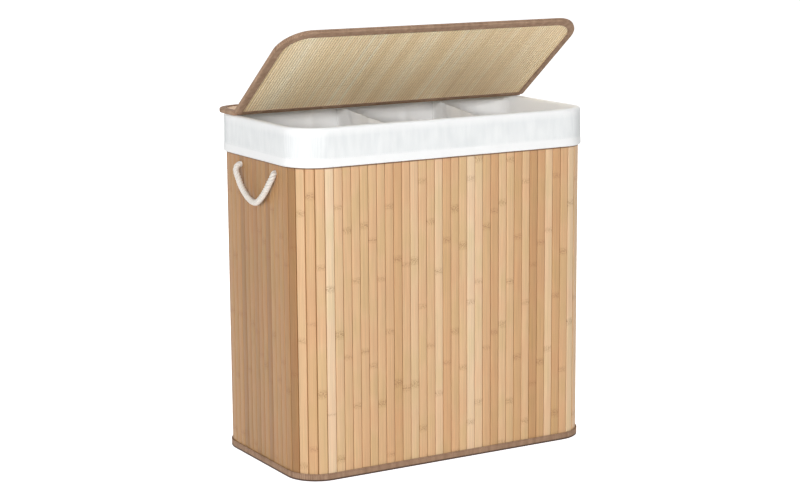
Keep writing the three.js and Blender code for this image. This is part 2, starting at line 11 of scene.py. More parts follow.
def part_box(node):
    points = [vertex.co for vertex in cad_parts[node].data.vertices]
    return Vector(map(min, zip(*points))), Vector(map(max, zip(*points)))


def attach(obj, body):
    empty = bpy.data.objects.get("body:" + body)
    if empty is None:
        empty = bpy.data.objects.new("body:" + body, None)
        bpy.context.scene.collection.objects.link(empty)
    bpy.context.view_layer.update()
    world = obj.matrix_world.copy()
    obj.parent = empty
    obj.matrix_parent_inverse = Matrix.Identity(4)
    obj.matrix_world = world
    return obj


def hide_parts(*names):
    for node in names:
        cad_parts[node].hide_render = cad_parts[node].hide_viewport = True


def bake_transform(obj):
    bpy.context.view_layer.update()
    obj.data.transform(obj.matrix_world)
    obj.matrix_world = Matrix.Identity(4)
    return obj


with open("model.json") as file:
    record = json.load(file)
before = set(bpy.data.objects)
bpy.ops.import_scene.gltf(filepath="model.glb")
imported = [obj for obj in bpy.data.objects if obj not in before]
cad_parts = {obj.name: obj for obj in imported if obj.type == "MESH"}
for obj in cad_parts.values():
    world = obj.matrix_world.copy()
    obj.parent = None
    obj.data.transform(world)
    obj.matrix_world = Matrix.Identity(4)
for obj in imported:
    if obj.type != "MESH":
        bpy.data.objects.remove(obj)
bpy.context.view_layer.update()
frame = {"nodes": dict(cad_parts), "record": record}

joints = {joint["name"]: joint for joint in frame["record"]["behaviour"]["joints"]}
chance = random.Random(11)

# Hamper as a whole
HALF_WIDTH = 0.300
HALF_DEPTH = 0.165
CORNER_RADIUS = 0.060
SEAT_GAP = 0.0003

# Slat mat
SLAT_THICKNESS = 0.003
SLAT_GAP = 0.0009
SLAT_EDGE = 0.0013
SLAT_LEAN = 0.006
SLAT_STAND = 0.00012
BACKING_THICKNESS = 0.001
FRONT_SLATS, SIDE_SLATS, CORNER_SLATS = 28, 12, 6
# The slats of the end walls, and this many of each corner, come from a darker batch
DARK_CORNER_SLATS = 2
# Middle of the tones from 0, dark, to 1, light, and how far they vary
LIGHT_TONES = (0.6, 0.15)
DARK_TONES = (0.11, 0.12)

# Cloth
CLOTH_THICKNESS = 0.0011
CLOTH_GRID = 0.0042
CORNER_COLUMNS = 16
BINDING_THICKNESS = 0.0009
BINDING_WIDTH = 0.0135
BINDING_FOLD_WIDTH = 0.008
EDGE_LIP = 0.0062
SEAM_INSET = 0.002
HEM_HEIGHT = 0.015
CUFF_FLARE = 0.0016
RIM_TURN = 0.0045
# Cloth this near to the rear outline belongs to the rear wall, which is creased at these places
REAR_BAND = 0.004
REAR_CREASES = (-0.107, 0.091)
CREASE_DEPTH = 0.0022
PUCKER_PITCH = 0.0126
# Where each divider is sewn to the rear wall and to the front wall
DIVIDER_SEAMS = {"left": (-0.055, -0.117), "right": (0.152, 0.070)}
DIVIDER_BOW = 0.005
STITCH_PITCH = 0.0036
STITCH_LENGTH = 0.0026
STITCH_THICKNESS = 0.0006

# Lid
LID_CORNER_RADIUS = 0.056
LID_FOLD_CORNER_RADIUS = 0.004
FLAP_LENGTH = 0.2522
FOLD_EDGE_GAP = 0.0003
LID_SLAT_PITCH = 0.0168
LID_SLAT_THICKNESS = 0.002
SPLINT_PITCH = 0.0052
SPLINT_THICKNESS = 0.0016
SPLINT_THREAD_PITCH = 0.028
SPLINT_THREAD_RADIUS = 0.00022
THREAD_WAVE = 0.0004
TAPE_WIDTH = 0.012
TAPE_THICKNESS = 0.0005
HINGE_TURN = 0.003

# Ropes
ROPE_DIAMETER = 0.011
ROPE_LAY = 0.0175
ROPE_STEP = 0.0011
# Rope holes: how wide, and where they lie along the end walls; and the knots in them
ROPE_HOLE_DIAMETER = 0.0118
ROPE_HOLES = {"rear": 0.059, "front": -0.073}
KNOT_DIAMETER = 0.018
KNOT_LENGTH = 0.011
# How far the knots push the liner in, and how wide
KNOT_PUSH = 0.0078
KNOT_REACH = 0.034

# Camera of the photograph, and the light
CAMERA_PLACE = (-1.7897, -3.0541, 1.0198)
CAMERA_AZIMUTH = -30.24
CAMERA_PITCH = 10.70
CAMERA_ROLL = -0.37
CAMERA_LENS = 89.01
FLOOR_GLOW = 0.85
WORLD_LIGHT = 0.26


def make_camera():
    """The camera at the photograph's place, aimed by azimuth, downward pitch and roll."""
    data = bpy.data.cameras.new("photo_camera")
    data.sensor_width = 36
    data.lens = CAMERA_LENS
    camera = bpy.data.objects.new("photo_camera", data)
    bpy.context.collection.objects.link(camera)
    a, e = math.radians(CAMERA_AZIMUTH), math.radians(CAMERA_PITCH)
    back = Vector((math.sin(a) * math.cos(e), -math.cos(a) * math.cos(e), math.sin(e)))
    right = Vector((math.cos(a), math.sin(a), 0))
    up = back.cross(right)
    level = Matrix((right, up, back)).transposed()
    turn = level @ Matrix.Rotation(math.radians(CAMERA_ROLL), 3, "Z")
    camera.matrix_world = Matrix.Translation(CAMERA_PLACE) @ turn.to_4x4()
    bpy.context.scene.camera = camera


make_camera()


# Small tools for modelling
def deselect():
    bpy.ops.object.select_all(action="DESELECT")


def block(name, low, high):
    """A box between two corners, with its place in its mesh."""
    deselect()
    low, high = Vector(low), Vector(high)
    bpy.ops.mesh.primitive_cube_add(size=1, location=(low + high) / 2, scale=high - low)
    bpy.ops.object.transform_apply(location=True, rotation=True, scale=True)
    piece = bpy.context.object
    piece.name = piece.data.name = name
    return piece


def edit(piece, kind, test, *steps):
    """In edit mode, selects the faces, edges or points that pass a test, and runs the steps on
    them: mesh operators, each with its settings."""
    bpy.ops.object.mode_set(mode="EDIT")
    bpy.ops.mesh.select_mode(type=kind)
    bpy.ops.mesh.select_all(action="DESELECT")
    mesh = bmesh.from_edit_mesh(piece.data)
    for item in {"FACE": mesh.faces, "EDGE": mesh.edges, "VERT": mesh.verts}[kind]:
        if test(item):
            item.select_set(True)
    bmesh.update_edit_mesh(piece.data)
    for operator, settings in steps:
        operator(**settings)
    bpy.ops.object.mode_set(mode="OBJECT")


DELETE_FACES = (bpy.ops.mesh.delete, {"type": "FACE"})


def rounding(offset, segments):
    """The step that rounds the selected edges over."""
    return bpy.ops.mesh.bevel, {"offset": offset, "segments": segments, "affect": "EDGES"}


def border(width):
    """The step that cuts a border off the selected faces and leaves what is inside it selected."""
    return bpy.ops.mesh.inset, {"thickness": width, "depth": 0}


def runs_along(edge, axis):
    """Whether an edge runs along the axis of this number."""
    a, b = (corner.co for corner in edge.verts)
    return abs(a[axis] - b[axis]) > 0.9 * (a - b).length


def is_level(face):
    return abs(face.normal.z) > 0.9


def modify(piece, kind, **settings):
    """Adds a modifier with its settings and applies it."""
    bpy.context.view_layer.objects.active = piece
    modifier = piece.modifiers.new(kind.lower(), kind)
    for key, value in settings.items():
        setattr(modifier, key, value)
    bpy.ops.object.modifier_apply(modifier=modifier.name)


def soften(piece, width, segments, degrees):
    """Rounds over every edge that is sharper than this."""
    modify(piece, "BEVEL", width=width, segments=segments, limit_method="ANGLE",
           angle_limit=math.radians(degrees))


def smooth(piece, degrees=40):
    deselect()
    piece.select_set(True)
    bpy.context.view_layer.objects.active = piece
    bpy.ops.object.shade_smooth_by_angle(angle=math.radians(degrees))


def from_points(name, points, faces, maps=None):
    """A mesh object from its points and faces, with any maps of two numbers per face corner."""
    mesh = bpy.data.meshes.new(name)
    mesh.from_pydata([tuple(point) for point in points], [], faces)
    for key, values in (maps or {}).items():
        layer = mesh.uv_layers.new(name=key)
        layer.data.foreach_set("uv", [number for pair in values for number in pair])
    mesh.validate()
    piece = bpy.data.objects.new(name, mesh)
    bpy.context.collection.objects.link(piece)
    return piece


def finish_piece(piece, body, material, slot, *nodes):
    """Gives a piece its material, lets it ride on its body and stand for its CAD nodes; the slot is not used.
    """
    piece.data.materials.clear()
    piece.data.materials.append(material)
    if nodes:
        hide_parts(*nodes)
    if body:
        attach(piece, body)


def laid(name, template, places, tones):
    """One mesh with a copy of the template at each place. Each copy has its own tone and its own
    stretch of grain: map "grain" holds its place across and along, map "tone" its tone and seed."""
    corners = [corner.co.copy() for corner in template.data.vertices]
    points, faces, grain, tone = [], [], [], []
    for (shade, seed), place in zip(tones, places):
        stretch = place.to_scale()
        first = len(points)
        points.extend(place @ corner for corner in corners)
        for polygon in template.data.polygons:
            faces.append([first + index for index in polygon.vertices])
            for index in polygon.vertices:
                corner = corners[index]
                grain.append((corner.x * stretch.x, corner.y * stretch.y + seed))
                tone.append((shade, seed))
    return from_points(name, points, faces, {"grain": grain, "tone": tone})


def smooth_path(points, step):
    """Points a step apart on a centripetal curve through the given points."""
    ends = [2 * points[0] - points[1], *points, 2 * points[-1] - points[-2]]
    path = []
    for p0, p1, p2, p3 in zip(ends, ends[1:], ends[2:], ends[3:]):
        t1 = (p1 - p0).length ** 0.5
        t2 = t1 + (p2 - p1).length ** 0.5
        t3 = t2 + (p3 - p2).length ** 0.5
        count = max(1, round((p2 - p1).length / step))
        for k in range(count):
            t = t1 + (t2 - t1) * k / count
            a1 = (t1 - t) / t1 * p0 + t / t1 * p1
            a2 = (t2 - t) / (t2 - t1) * p1 + (t - t1) / (t2 - t1) * p2
            a3 = (t3 - t) / (t3 - t2) * p2 + (t - t2) / (t3 - t2) * p3
            b1 = (t2 - t) / t2 * a1 + t / t2 * a2
            b2 = (t3 - t) / (t3 - t1) * a2 + (t - t1) / (t3 - t1) * a3
            path.append((t2 - t) / (t2 - t1) * b1 + (t - t1) / (t2 - t1) * b2)
    return path + [points[-1].copy()]


def carried_frames(path):
    """Two cross directions at each point of a path, carried along it without twisting."""
    tangents = [(b - a).normalized() for a, b in zip(path[:1] + path, path[1:] + path[-1:])]
    tangents[0], tangents[-1] = (path[1] - path[0]).normalized(), (path[-1] - path[-2]).normalized()
    side = tangents[0].orthogonal().normalized()
    frames = []
    for tangent in tangents:
        side = (side - tangent * side.dot(tangent)).normalized()
        frames.append((side, tangent.cross(side)))
    return frames


def tube(path, radius, sides):
    """Points, faces and a map round and along for a closed tube along a path."""
    points, faces, around = [], [], []
    frames = carried_frames(path)
    travel = 0
    along = [0]
    for a, b in zip(path, path[1:]):
        travel += (b - a).length
        along.append(travel)
    for centre, (side, other) in zip(path, frames):
        for k in range(sides):
            angle = 2 * math.pi * k / sides
            points.append(centre + radius * (math.cos(angle) * side + math.sin(angle) * other))
    for i in range(len(path) - 1):
        for k in range(sides):
            a, b = i * sides + k, i * sides + (k + 1) % sides
            faces.append([a, b, b + sides, a + sides])
            around += [(k / sides, along[i]), ((k + 1) / sides, along[i]),
                       ((k + 1) / sides, along[i + 1]), (k / sides, along[i + 1])]
    for ring, step in ((0, -1), (len(path) - 1, 1)):
        faces.append([ring * sides + k for k in range(sides)][::step])
        around += [(0, along[ring])] * sides
    return points, faces, around


def joined_tubes(name, paths, radius, sides, spine=None):
    """One mesh of several tubes. Map "out" holds how far each point lies from their common spine,
    as a share of the farthest, or 1 for tubes that have none."""
    points, faces, around = [], [], []
    for path in paths:
        more_points, more_faces, more_around = tube(path, radius, sides)
        faces += [[index + len(points) for index in face] for face in more_faces]
        points += more_points
        around += more_around
    reach = [1.0] * len(points)
    if spine:
        reach = [(point - spine[k // sides % len(spine)]).length for k, point in enumerate(points)]
    farthest = max(reach)
    out = [(reach[index] / farthest, 0) for face in faces for index in face]
    return from_points(name, points, faces, {"around": around, "out": out})


def strands(path, diameter, lay):
    """Centre lines of the three strands of a rope laid along a path."""
    # Pulled tight, the strands press into each other
    strand = diameter / 1.95
    lines = [[], [], []]
    travel = 0
    last = path[0]
    for centre, (side, other) in zip(path, carried_frames(path)):
        travel += (centre - last).length
        last = centre
        for k, line in enumerate(lines):
            angle = 2 * math.pi * (travel / lay + k / 3)
            line.append(centre + (diameter - strand) / 2 * (math.cos(angle) * side + math.sin(angle) * other))
    return lines, strand / 2


# Materials
def linear(code):
    """A hex sRGB colour as linear red, green, blue and alpha."""
    shares = [int(code[i:i + 2], 16) / 255 for i in (1, 3, 5)]
    return [s / 12.92 if s <= 0.04045 else ((s + 0.055) / 1.055) ** 2.4 for s in shares] + [1.0]


def add(tree, kind, inputs=None, stops=(), **settings):
    """Adds a node with its settings. An input is a value, or the output that feeds it."""
    node = tree.nodes.new(kind)
    for key, value in settings.items():
        setattr(node, key, value)
    for key, value in (inputs or {}).items():
        if isinstance(value, bpy.types.NodeSocket):
            tree.links.new(value, node.inputs[key])
        else:
            node.inputs[key].default_value = value
    for place, colour in stops[1:-1]:
        node.color_ramp.elements.new(place).color = linear(colour)
    for end in (0, -1) if stops else ():
        node.color_ramp.elements[end].position = stops[end][0]
        node.color_ramp.elements[end].color = linear(stops[end][1])
    return node


# What the nodes below return is the output that the next node takes
def calc(tree, operation, *values):
    return add(tree, "ShaderNodeMath", dict(enumerate(values)), operation=operation).outputs[0]


def rescaled(tree, value, low, high, to_low=0.0, to_high=1.0):
    """A value's range from low to high, spread over another range and held at its ends."""
    return add(tree, "ShaderNodeMapRange", {"Value": value, "From Min": low, "From Max": high,
                                            "To Min": to_low, "To Max": to_high}).outputs[0]


def mix(tree, share, first, second, blend_type="MIX"):
    return add(tree, "ShaderNodeMix", {"Factor": share, "A": first, "B": second}, data_type="RGBA",
               blend_type=blend_type).outputs[2]


def ramp(tree, value, *stops):
    return add(tree, "ShaderNodeValToRGB", {0: value}, stops=stops).outputs[0]


def cloudy(tree, place, scale, detail):
    return add(tree, "ShaderNodeTexNoise", {"Vector": place, "Scale": scale, "Detail": detail}).outputs[0]


def numbers(tree, vector):
    return add(tree, "ShaderNodeSeparateXYZ", {0: vector}).outputs


def own_space(tree):
    return add(tree, "ShaderNodeTexCoord").outputs["Object"]


def mesh_map(tree, name):
    return add(tree, "ShaderNodeUVMap", uv_map=name).outputs[0]


def drawn_out(tree, stretch, scale):
    """Noise in the object's own space, drawn out along an axis whose stretch is under 1."""
    drawn = add(tree, "ShaderNodeMapping", {"Vector": own_space(tree), "Scale": stretch})
    return cloudy(tree, drawn.outputs[0], scale, 4.0)


def fibres(tree, place, seed, width, length, detail):
    """Streaks about this wide and long along a slat or splint."""
    x = calc(tree, "MULTIPLY", place[0], 1 / width)
    y = calc(tree, "MULTIPLY", place[1], 1 / length)
    spot = add(tree, "ShaderNodeCombineXYZ", {0: x, 1: y, 2: seed})
    return cloudy(tree, spot.outputs[0], 1.0, detail)


def new_material(name, **values):
    """A material whose surface shader has these values. Returns it with its node tree and shader."""
    material = bpy.data.materials.new(name)
    material.use_nodes = True
    tree = material.node_tree
    shader = tree.nodes["Principled BSDF"]
    for key, value in values.items():
        shader.inputs[key.replace("_", " ")].default_value = value
    return material, tree, shader


def surface(tree, shader, colour, height, strength, distance):
    """Feeds a colour and a relief to the shader."""
    tree.links.new(colour, shader.inputs["Base Color"])
    bump = add(tree, "ShaderNodeBump", {"Height": height, "Strength": strength, "Distance": distance})
    tree.links.new(bump.outputs[0], shader.inputs["Normal"])


def lacquered_bamboo():
    """Split bamboo slats, sanded and clear lacquered: each slat has its own tone, long fibres
    that streak it from end to end, and a darker scarred band where the cane had a node."""
    material, tree, shader = new_material("split_bamboo_lacquered", Roughness=0.48)
    grain = mesh_map(tree, "grain")
    place, own = numbers(tree, grain), numbers(tree, mesh_map(tree, "tone"))
    base = ramp(tree, own[0], (0.0, "#9C7246"), (0.25, "#B68B5C"), (0.5, "#CEA477"),
                (0.75, "#DAB58B"), (1.0, "#E7CBA8"))
    seed = calc(tree, "MULTIPLY", own[1], 37.0)
    # Fibre bundles about 2 mm wide and 110 mm long, and zones that take in the whole width
    bundles = fibres(tree, place, seed, 0.0022, 0.11, 3.0)
    zones = fibres(tree, place, seed, 0.05, 0.09, 1.0)
    zone = ramp(tree, zones, (0.36, "#F9FBF3"), (0.5, "#FFFEFC"), (0.64, "#FFF9F7"))
    zoned = mix(tree, 1.0, base, zone, "MULTIPLY")
    streaked = mix(tree, 1.0, zoned, rescaled(tree, bundles, 0.3, 0.7, 0.91, 1.06), "MULTIPLY")
    # A node of the cane every 220 mm: a thin scar with a smudge round it
    turn = calc(tree, "PINGPONG", place[1], 0.11)
    off = calc(tree, "ADD", turn, calc(tree, "MULTIPLY_ADD", zones, 0.012, -0.006))
    smudge = rescaled(tree, off, 0.0, 0.008, 0.55, 0.0)
    broken = rescaled(tree, cloudy(tree, grain, 420.0, 3.0), 0.42, 0.62, 0.05, 1.0)
    scar = calc(tree, "MULTIPLY", smudge, broken)
    marked = mix(tree, scar, streaked, linear("#8A5428"))
    surface(tree, shader, marked, calc(tree, "SUBTRACT", bundles, scar), 0.25, 0.0004)
    return material


def fine_splints():
    """Planed bamboo splints of a blind, unlacquered: pale straw, matt, banded from splint to
    splint because neighbours were split from the same cane."""
    material, tree, shader = new_material("planed_bamboo_splints", Roughness=0.62)
    place, own = numbers(tree, mesh_map(tree, "grain")), numbers(tree, mesh_map(tree, "tone"))
    base = ramp(tree, own[0], (0.0, "#F1D5A6"), (0.35, "#FAE0B5"), (0.65, "#FFEAC4"), (1.0, "#FFF3D6"))
    seed = calc(tree, "MULTIPLY", own[1], 53.0)
    bundles = fibres(tree, place, seed, 0.0009, 0.035, 2.0)
    streaked = mix(tree, 1.0, base, rescaled(tree, bundles, 0.3, 0.7, 0.94, 1.06), "MULTIPLY")
    # Painted shade: each splint darkens towards its edges, the shade in the grooves between splints
    painted_groove_shade = rescaled(tree, calc(tree, "ABSOLUTE", place[0]), 0.0018, 0.0025, 1.0, 0.45)
    surface(tree, shader, mix(tree, 1.0, streaked, painted_groove_shade, "MULTIPLY"), bundles, 0.3, 0.0003)
    return material


def woven_cloth(name, dark, light, thread, bump_height, **values):
    """Plain-weave cloth. The threads cross on every face, so the weave is a sum of three waves.
    The real threads are under half a millimetre, too fine for the picture, so they are coarser."""
    material, tree, shader = new_material(name, **values)
    waves = [calc(tree, "SINE", calc(tree, "MULTIPLY", number, 2 * math.pi / thread))
             for number in numbers(tree, own_space(tree))]
    weave = calc(tree, "ADD", calc(tree, "ADD", waves[0], waves[1]), waves[2])
    mottled = calc(tree, "MULTIPLY_ADD", weave, 0.12, drawn_out(tree, (1, 1, 0.2), 110.0))
    colour = mix(tree, rescaled(tree, mottled, 0.15, 0.85), linear(dark), linear(light))
    surface(tree, shader, colour, weave, 0.5, bump_height)
    return material


def recolour(material, share, code):
    """Turns a material to another colour where the share is 1."""
    tree = material.node_tree
    colour_input = tree.nodes["Principled BSDF"].inputs["Base Color"]
    tree.links.new(mix(tree, share, colour_input.links[0].from_socket, linear(code)), colour_input)


def tinted_band(material, low, high, soft, code):
    """Turns a material to another colour between two heights, with edges this soft."""
    tree = material.node_tree
    height = numbers(tree, own_space(tree))[2]
    above = rescaled(tree, height, low - soft / 2, low + soft / 2)
    below = rescaled(tree, height, high - soft / 2, high + soft / 2, 1.0, 0.0)
    recolour(material, calc(tree, "MULTIPLY", above, below), code)


def tinted_inside(material, code, depth=0.004):
    """Turns a cloth to another colour inside the hamper, from this deep behind its outline."""
    tree = material.node_tree
    place = own_space(tree)
    core = (HALF_WIDTH - CORNER_RADIUS, HALF_DEPTH - CORNER_RADIUS, 0)
    for operation, other in (("MULTIPLY", (1, 1, 0)), ("ABSOLUTE", (0, 0, 0)), ("SUBTRACT", core),
                             ("MAXIMUM", (0, 0, 0)), ("LENGTH", (0, 0, 0))):
        node = add(tree, "ShaderNodeVectorMath", {0: place, 1: other}, operation=operation)
        place = node.outputs[0]
    recolour(material, calc(tree, "LESS_THAN", node.outputs["Value"], CORNER_RADIUS - depth), code)


def twisted_cotton():
    """Off-white cotton rope: soft spun yarns that run slantwise round each strand."""
    material, tree, shader = new_material("twisted_cotton_rope", Roughness=0.9, Sheen_Weight=0.25)
    place = numbers(tree, mesh_map(tree, "around"))
    # Eight yarns round a strand, turning once in 22 mm
    turn = calc(tree, "MULTIPLY_ADD", place[1], 1 / 0.022, place[0])
    wave = calc(tree, "SINE", calc(tree, "MULTIPLY", turn, 16 * math.pi))
    height = calc(tree, "MULTIPLY_ADD", wave, 0.35, cloudy(tree, own_space(tree), 900.0, 3.0))
    colour = mix(tree, rescaled(tree, height, 0.1, 0.9), linear("#DDD3C6"), linear("#FAF7F2"))
    # Painted shade: the colour darkens down between the strands, where little light gets
    out = numbers(tree, mesh_map(tree, "out"))[0]
    painted_shade_colour = mix(tree, 1.0, colour, rescaled(tree, out, 0.55, 0.95, 0.3, 1.0), "MULTIPLY")
    surface(tree, shader, painted_shade_colour, height, 0.6, 0.0006)
    return material


def grained(name, dark, light, size, stretch=(1, 1, 1), **values):
    """A plain stock material with flecks, or with a grain drawn out along one axis."""
    material, tree, shader = new_material(name, **values)
    flecks = drawn_out(tree, stretch, 1 / size)
    surface(tree, shader, mix(tree, flecks, linear(dark), linear(light)), flecks, 0.2, 0.0002)
    return material


bamboo = lacquered_bamboo()
splint_bamboo = fine_splints()
# Brown polyester plain weave: matt, slightly mottled, with ribs that catch the light
binding_cloth = woven_cloth("brown_polyester_binding", "#8A6A52", "#BA9A80", 0.0022, 0.0005,
                            Roughness=0.88)
# Undyed tan backing cloth glued behind the slats, seen only as a line in each gap
backing_cloth = woven_cloth("tan_backing_cloth", "#94693F", "#B08657", 0.002, 0.0003, Roughness=0.95)
# Bleached cotton: near white, a little blue from optical brightener
liner_cotton = woven_cloth("bleached_cotton_liner", "#E8EBEC", "#F6F8F8", 0.0016, 0.00012,
                           Roughness=0.92)
# Sewing thread of spun polyester, and the cotton thread that holds the splints
thread_brown = grained("brown_sewing_thread", "#6B4A3A", "#8E6B58", 0.002, Roughness=0.7)
thread_white = grained("white_sewing_thread", "#DCDEE2", "#F2F3F5", 0.002, Roughness=0.7)
thread_straw = grained("straw_cotton_thread", "#B9A179", "#DCCBA4", 0.002, Roughness=0.85)
rope_cotton = twisted_cotton()
# Hardboard: pressed wood fibre, brown with darker flecks
hardboard = grained("pressed_hardboard", "#8A6B49", "#B7966F", 0.003, Roughness=0.8)
# Turned bamboo dowel: straight fibres along the post
dowel = grained("turned_bamboo_dowel", "#C6A777", "#E2C99C", 0.0025, (1, 1, 0.03), Roughness=0.6)
# Moulded polypropylene caps: dark, slightly waxy, fine spark-eroded texture
cap_plastic = grained("moulded_polypropylene", "#2E2A28", "#403B38", 0.0008, Roughness=0.45)
# Zinc plated spring wire: bright grey with faint flecks
wire_zinc = grained("zinc_plated_wire", "#8E9296", "#B4B8BC", 0.0015, Roughness=0.32, Metallic=1.0)


# Rope handles. The route is the CAD rope's, but for up to 3 mm at its ends and its lowest point:
# out from the slats, along the wall, down from the holes
ROPE_ROUTE_MM = [
    (3.5, 59, 0.6), (7.6, 58.4, 3), (10.8, 56.4, 7.6), (12.4, 52.4, 13), (12.6, 46.8, 20),
    (12.6, 40.6, 28), (12.6, 33, 36), (12.6, 24, 42.8), (12.6, 13, 49.2), (12.6, 0.5, 54.4),
    (12.6, -12.5, 57), (12.4, -25, 56), (12, -38, 49), (11.4, -51, 38.5), (10.4, -62.5, 26.5),
    (9.2, -72, 14.5), (7.2, -77.2, 6.4), (3.5, -76, 1),
]
wall_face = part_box("slats_right")[1][0]
rope_height = joints["handle_left_swing"]["pos_m"][2]


def knot_starts(name, end):
    """How far from the hamper's middle a knot starts."""
    low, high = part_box(f"knot_{name}_{end}")
    return min(abs(low[0]), abs(high[0]))


def rope_handle(name, side):
    """The rope from knot to knot. Its ends stay in their holes."""
    inner = knot_starts(name, "rear") + KNOT_LENGTH / 2
    loop = [Vector((side * (wall_face + out / 1000), along / 1000, rope_height - drop / 1000))
            for out, along, drop in ROPE_ROUTE_MM]
    ends = [[Vector((side * (inner + (wall_face - inner) * k / 3), along, rope_height)) for k in range(4)]
            for along in ROPE_HOLES.values()]
    path = smooth_path(ends[0] + loop + ends[1][::-1], ROPE_STEP)
    lines, radius = strands(path, ROPE_DIAMETER, ROPE_LAY)
    rope = joined_tubes(f"rope_handle_{name}", lines, radius, 12, spine=path)
    smooth(rope, 80)
    finish_piece(rope, None, rope_cotton, "cotton_rope", f"rope_{name}")
    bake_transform(rope)


def rope_knot(name, side, end, along):
    """A trefoil knot inside the wall."""
    strand = 0.19 * KNOT_DIAMETER
    flat = (KNOT_DIAMETER / 2 - strand) / 3
    deep = KNOT_LENGTH / 2 - strand
    middle = Vector((side * (knot_starts(name, end) + KNOT_LENGTH / 2), along, rope_height))
    loop = []
    for k in range(97):
        t = 2 * math.pi * k / 96
        loop.append(middle + Vector((side * deep * math.sin(3 * t),
                                     flat * (math.sin(t) + 2 * math.sin(2 * t)),
                                     flat * (math.cos(t) - 2 * math.cos(2 * t)))))
    knot = joined_tubes(f"rope_knot_{name}_{end}", [loop], strand, 10)
    smooth(knot, 80)
    finish_piece(knot, "body", rope_cotton, "cotton_rope", f"knot_{name}_{end}")


for side_name, side_sign in (("left", -1), ("right", 1)):
    rope_handle(side_name, side_sign)
    for end_name, hole in ROPE_HOLES.items():
        rope_knot(side_name, side_sign, end_name, hole)


# Slat mat
mat_low, mat_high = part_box("slats_front")[0][2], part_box("slats_front")[1][2]
back_x = wall_face - SLAT_THICKNESS
back_y = -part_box("slats_front")[0][1] - SLAT_THICKNESS
back_radius = CORNER_RADIUS - (HALF_WIDTH - back_x)
straight_x, straight_y = 2 * (back_x - back_radius), 2 * (back_y - back_radius)
back_arc = 0.5 * math.pi * back_radius
mat_length = 2 * (straight_x + straight_y) + 4 * back_arc
slat_count = 2 * FRONT_SLATS + 2 * SIDE_SLATS + 4 * CORNER_SLATS
slat_pitch = mat_length / slat_count


def mat_point(distance):
    """A point behind the slats, this far round the hamper from the front's middle towards +X."""
    end_wall = [(back_arc, True), (straight_y, False), (back_arc, True)]
    stretches = [(straight_x / 2, False), *end_wall, (straight_x, False), *end_wall, (straight_x / 2, False)]
    left, heading, at = distance % mat_length, 0.0, Vector((0, -back_y))
    for length, turning in stretches:
        part = min(left, length)
        if turning:
            centre = at + back_radius * Vector((-math.sin(heading), math.cos(heading)))
            heading += part / back_radius
            at = centre + back_radius * Vector((math.sin(heading), -math.cos(heading)))
        else:
            at = at + part * Vector((math.cos(heading), math.sin(heading)))
        left -= part
        if left <= 0:
            break
    return at


def slat_blank(name, width, length, thickness):
    """One slat lying on its back: width along X, length along Y, its long front edges rounded."""
    slat = block(name, (-width / 2, 0, 0), (width / 2, length, thickness))
    edit(slat, "EDGE", lambda e: runs_along(e, 1) and e.verts[0].co.z > thickness / 2,
         rounding(SLAT_EDGE, 3))
    return slat


def slat_place(first, last):
    """Stands a slat on the mat between two points: X along the mat, Y up, Z outwards."""
    along = (last - first).normalized()
    out = Vector((along.y, -along.x))
    middle = (first + last) / 2
    lean = chance.uniform(-SLAT_LEAN, SLAT_LEAN)
    stand = chance.uniform(0, SLAT_STAND)
    place = Matrix((
        (along.x, 0, out.x, middle.x + out.x * stand),
        (along.y, 0, out.y, middle.y + out.y * stand),
        (0, 1, 0, mat_low),
        (0, 0, 0, 1),
    ))
    return place @ Matrix.Rotation(lean, 4, "Y")


def slat_tone(middle, spread):
    """A slat's tone, from dark to light, and its seed."""
    return min(1, max(0, chance.gauss(middle, spread))), chance.uniform(0, 9)


def drill_holes(piece, side):
    """The two holes for a rope, through one end wall."""
    for along in ROPE_HOLES.values():
        deselect()
        bpy.ops.mesh.primitive_cylinder_add(vertices=24, radius=ROPE_HOLE_DIAMETER / 2,
                                            depth=8 * SLAT_THICKNESS, rotation=(0, math.pi / 2, 0),
                                            location=(side * wall_face, along, rope_height))
        drill = bpy.context.object
        modify(piece, "BOOLEAN", operation="DIFFERENCE", object=drill, solver="EXACT")
        bpy.data.objects.remove(drill)


def slat_walls():
    blank = slat_blank("wall_slat", slat_pitch - SLAT_GAP, mat_high - mat_low, SLAT_THICKNESS)
    first = -FRONT_SLATS / 2
    runs = [("front", FRONT_SLATS), ("corner_front_right", CORNER_SLATS), ("right", SIDE_SLATS),
            ("corner_rear_right", CORNER_SLATS), ("rear", FRONT_SLATS),
            ("corner_rear_left", CORNER_SLATS), ("left", SIDE_SLATS),
            ("corner_front_left", CORNER_SLATS)]
    for name, count in runs:
        places = [slat_place(mat_point((first + k) * slat_pitch), mat_point((first + k + 1) * slat_pitch))
                  for k in range(count)]
        tones = []
        for k in range(count):
            past_front = (first + k + FRONT_SLATS / 2) % (slat_count / 2) - FRONT_SLATS
            past_light = past_front - CORNER_SLATS + DARK_CORNER_SLATS
            dark = 0 <= past_light < SIDE_SLATS + 2 * DARK_CORNER_SLATS
            tones.append(slat_tone(*DARK_TONES if dark else LIGHT_TONES))
        first += count
        run = laid(f"bamboo_slats_{name}", blank, places, tones)
        if name in ("left", "right"):
            drill_holes(run, -1 if name == "left" else 1)
        smooth(run)
        finish_piece(run, "body", bamboo, "bamboo_slats", f"slats_{name}")
    bpy.data.objects.remove(blank)


slat_walls()


# Cloth strips folded over edges, and the backing behind the slats
def rounded_block(name, low, high, radius):
    """A box whose four upright edges are rounded."""
    piece = block(name, low, high)
    edit(piece, "EDGE", lambda e: runs_along(e, 2), rounding(radius, 12))
    return piece


def backing():
    """The cloth that the slats are glued to, as wide as the mat is high."""
    cloth = rounded_block("slat_backing_cloth", (-back_x, -back_y, mat_low), (back_x, back_y, mat_high),
                          back_radius)
    edit(cloth, "FACE", is_level, DELETE_FACES)
    modify(cloth, "SOLIDIFY", thickness=BACKING_THICKNESS, offset=-1, use_even_offset=True)
    for side in (-1, 1):
        drill_holes(cloth, side)
    smooth(cloth, 30)
    finish_piece(cloth, "body", backing_cloth, "binding_cloth")


backing()


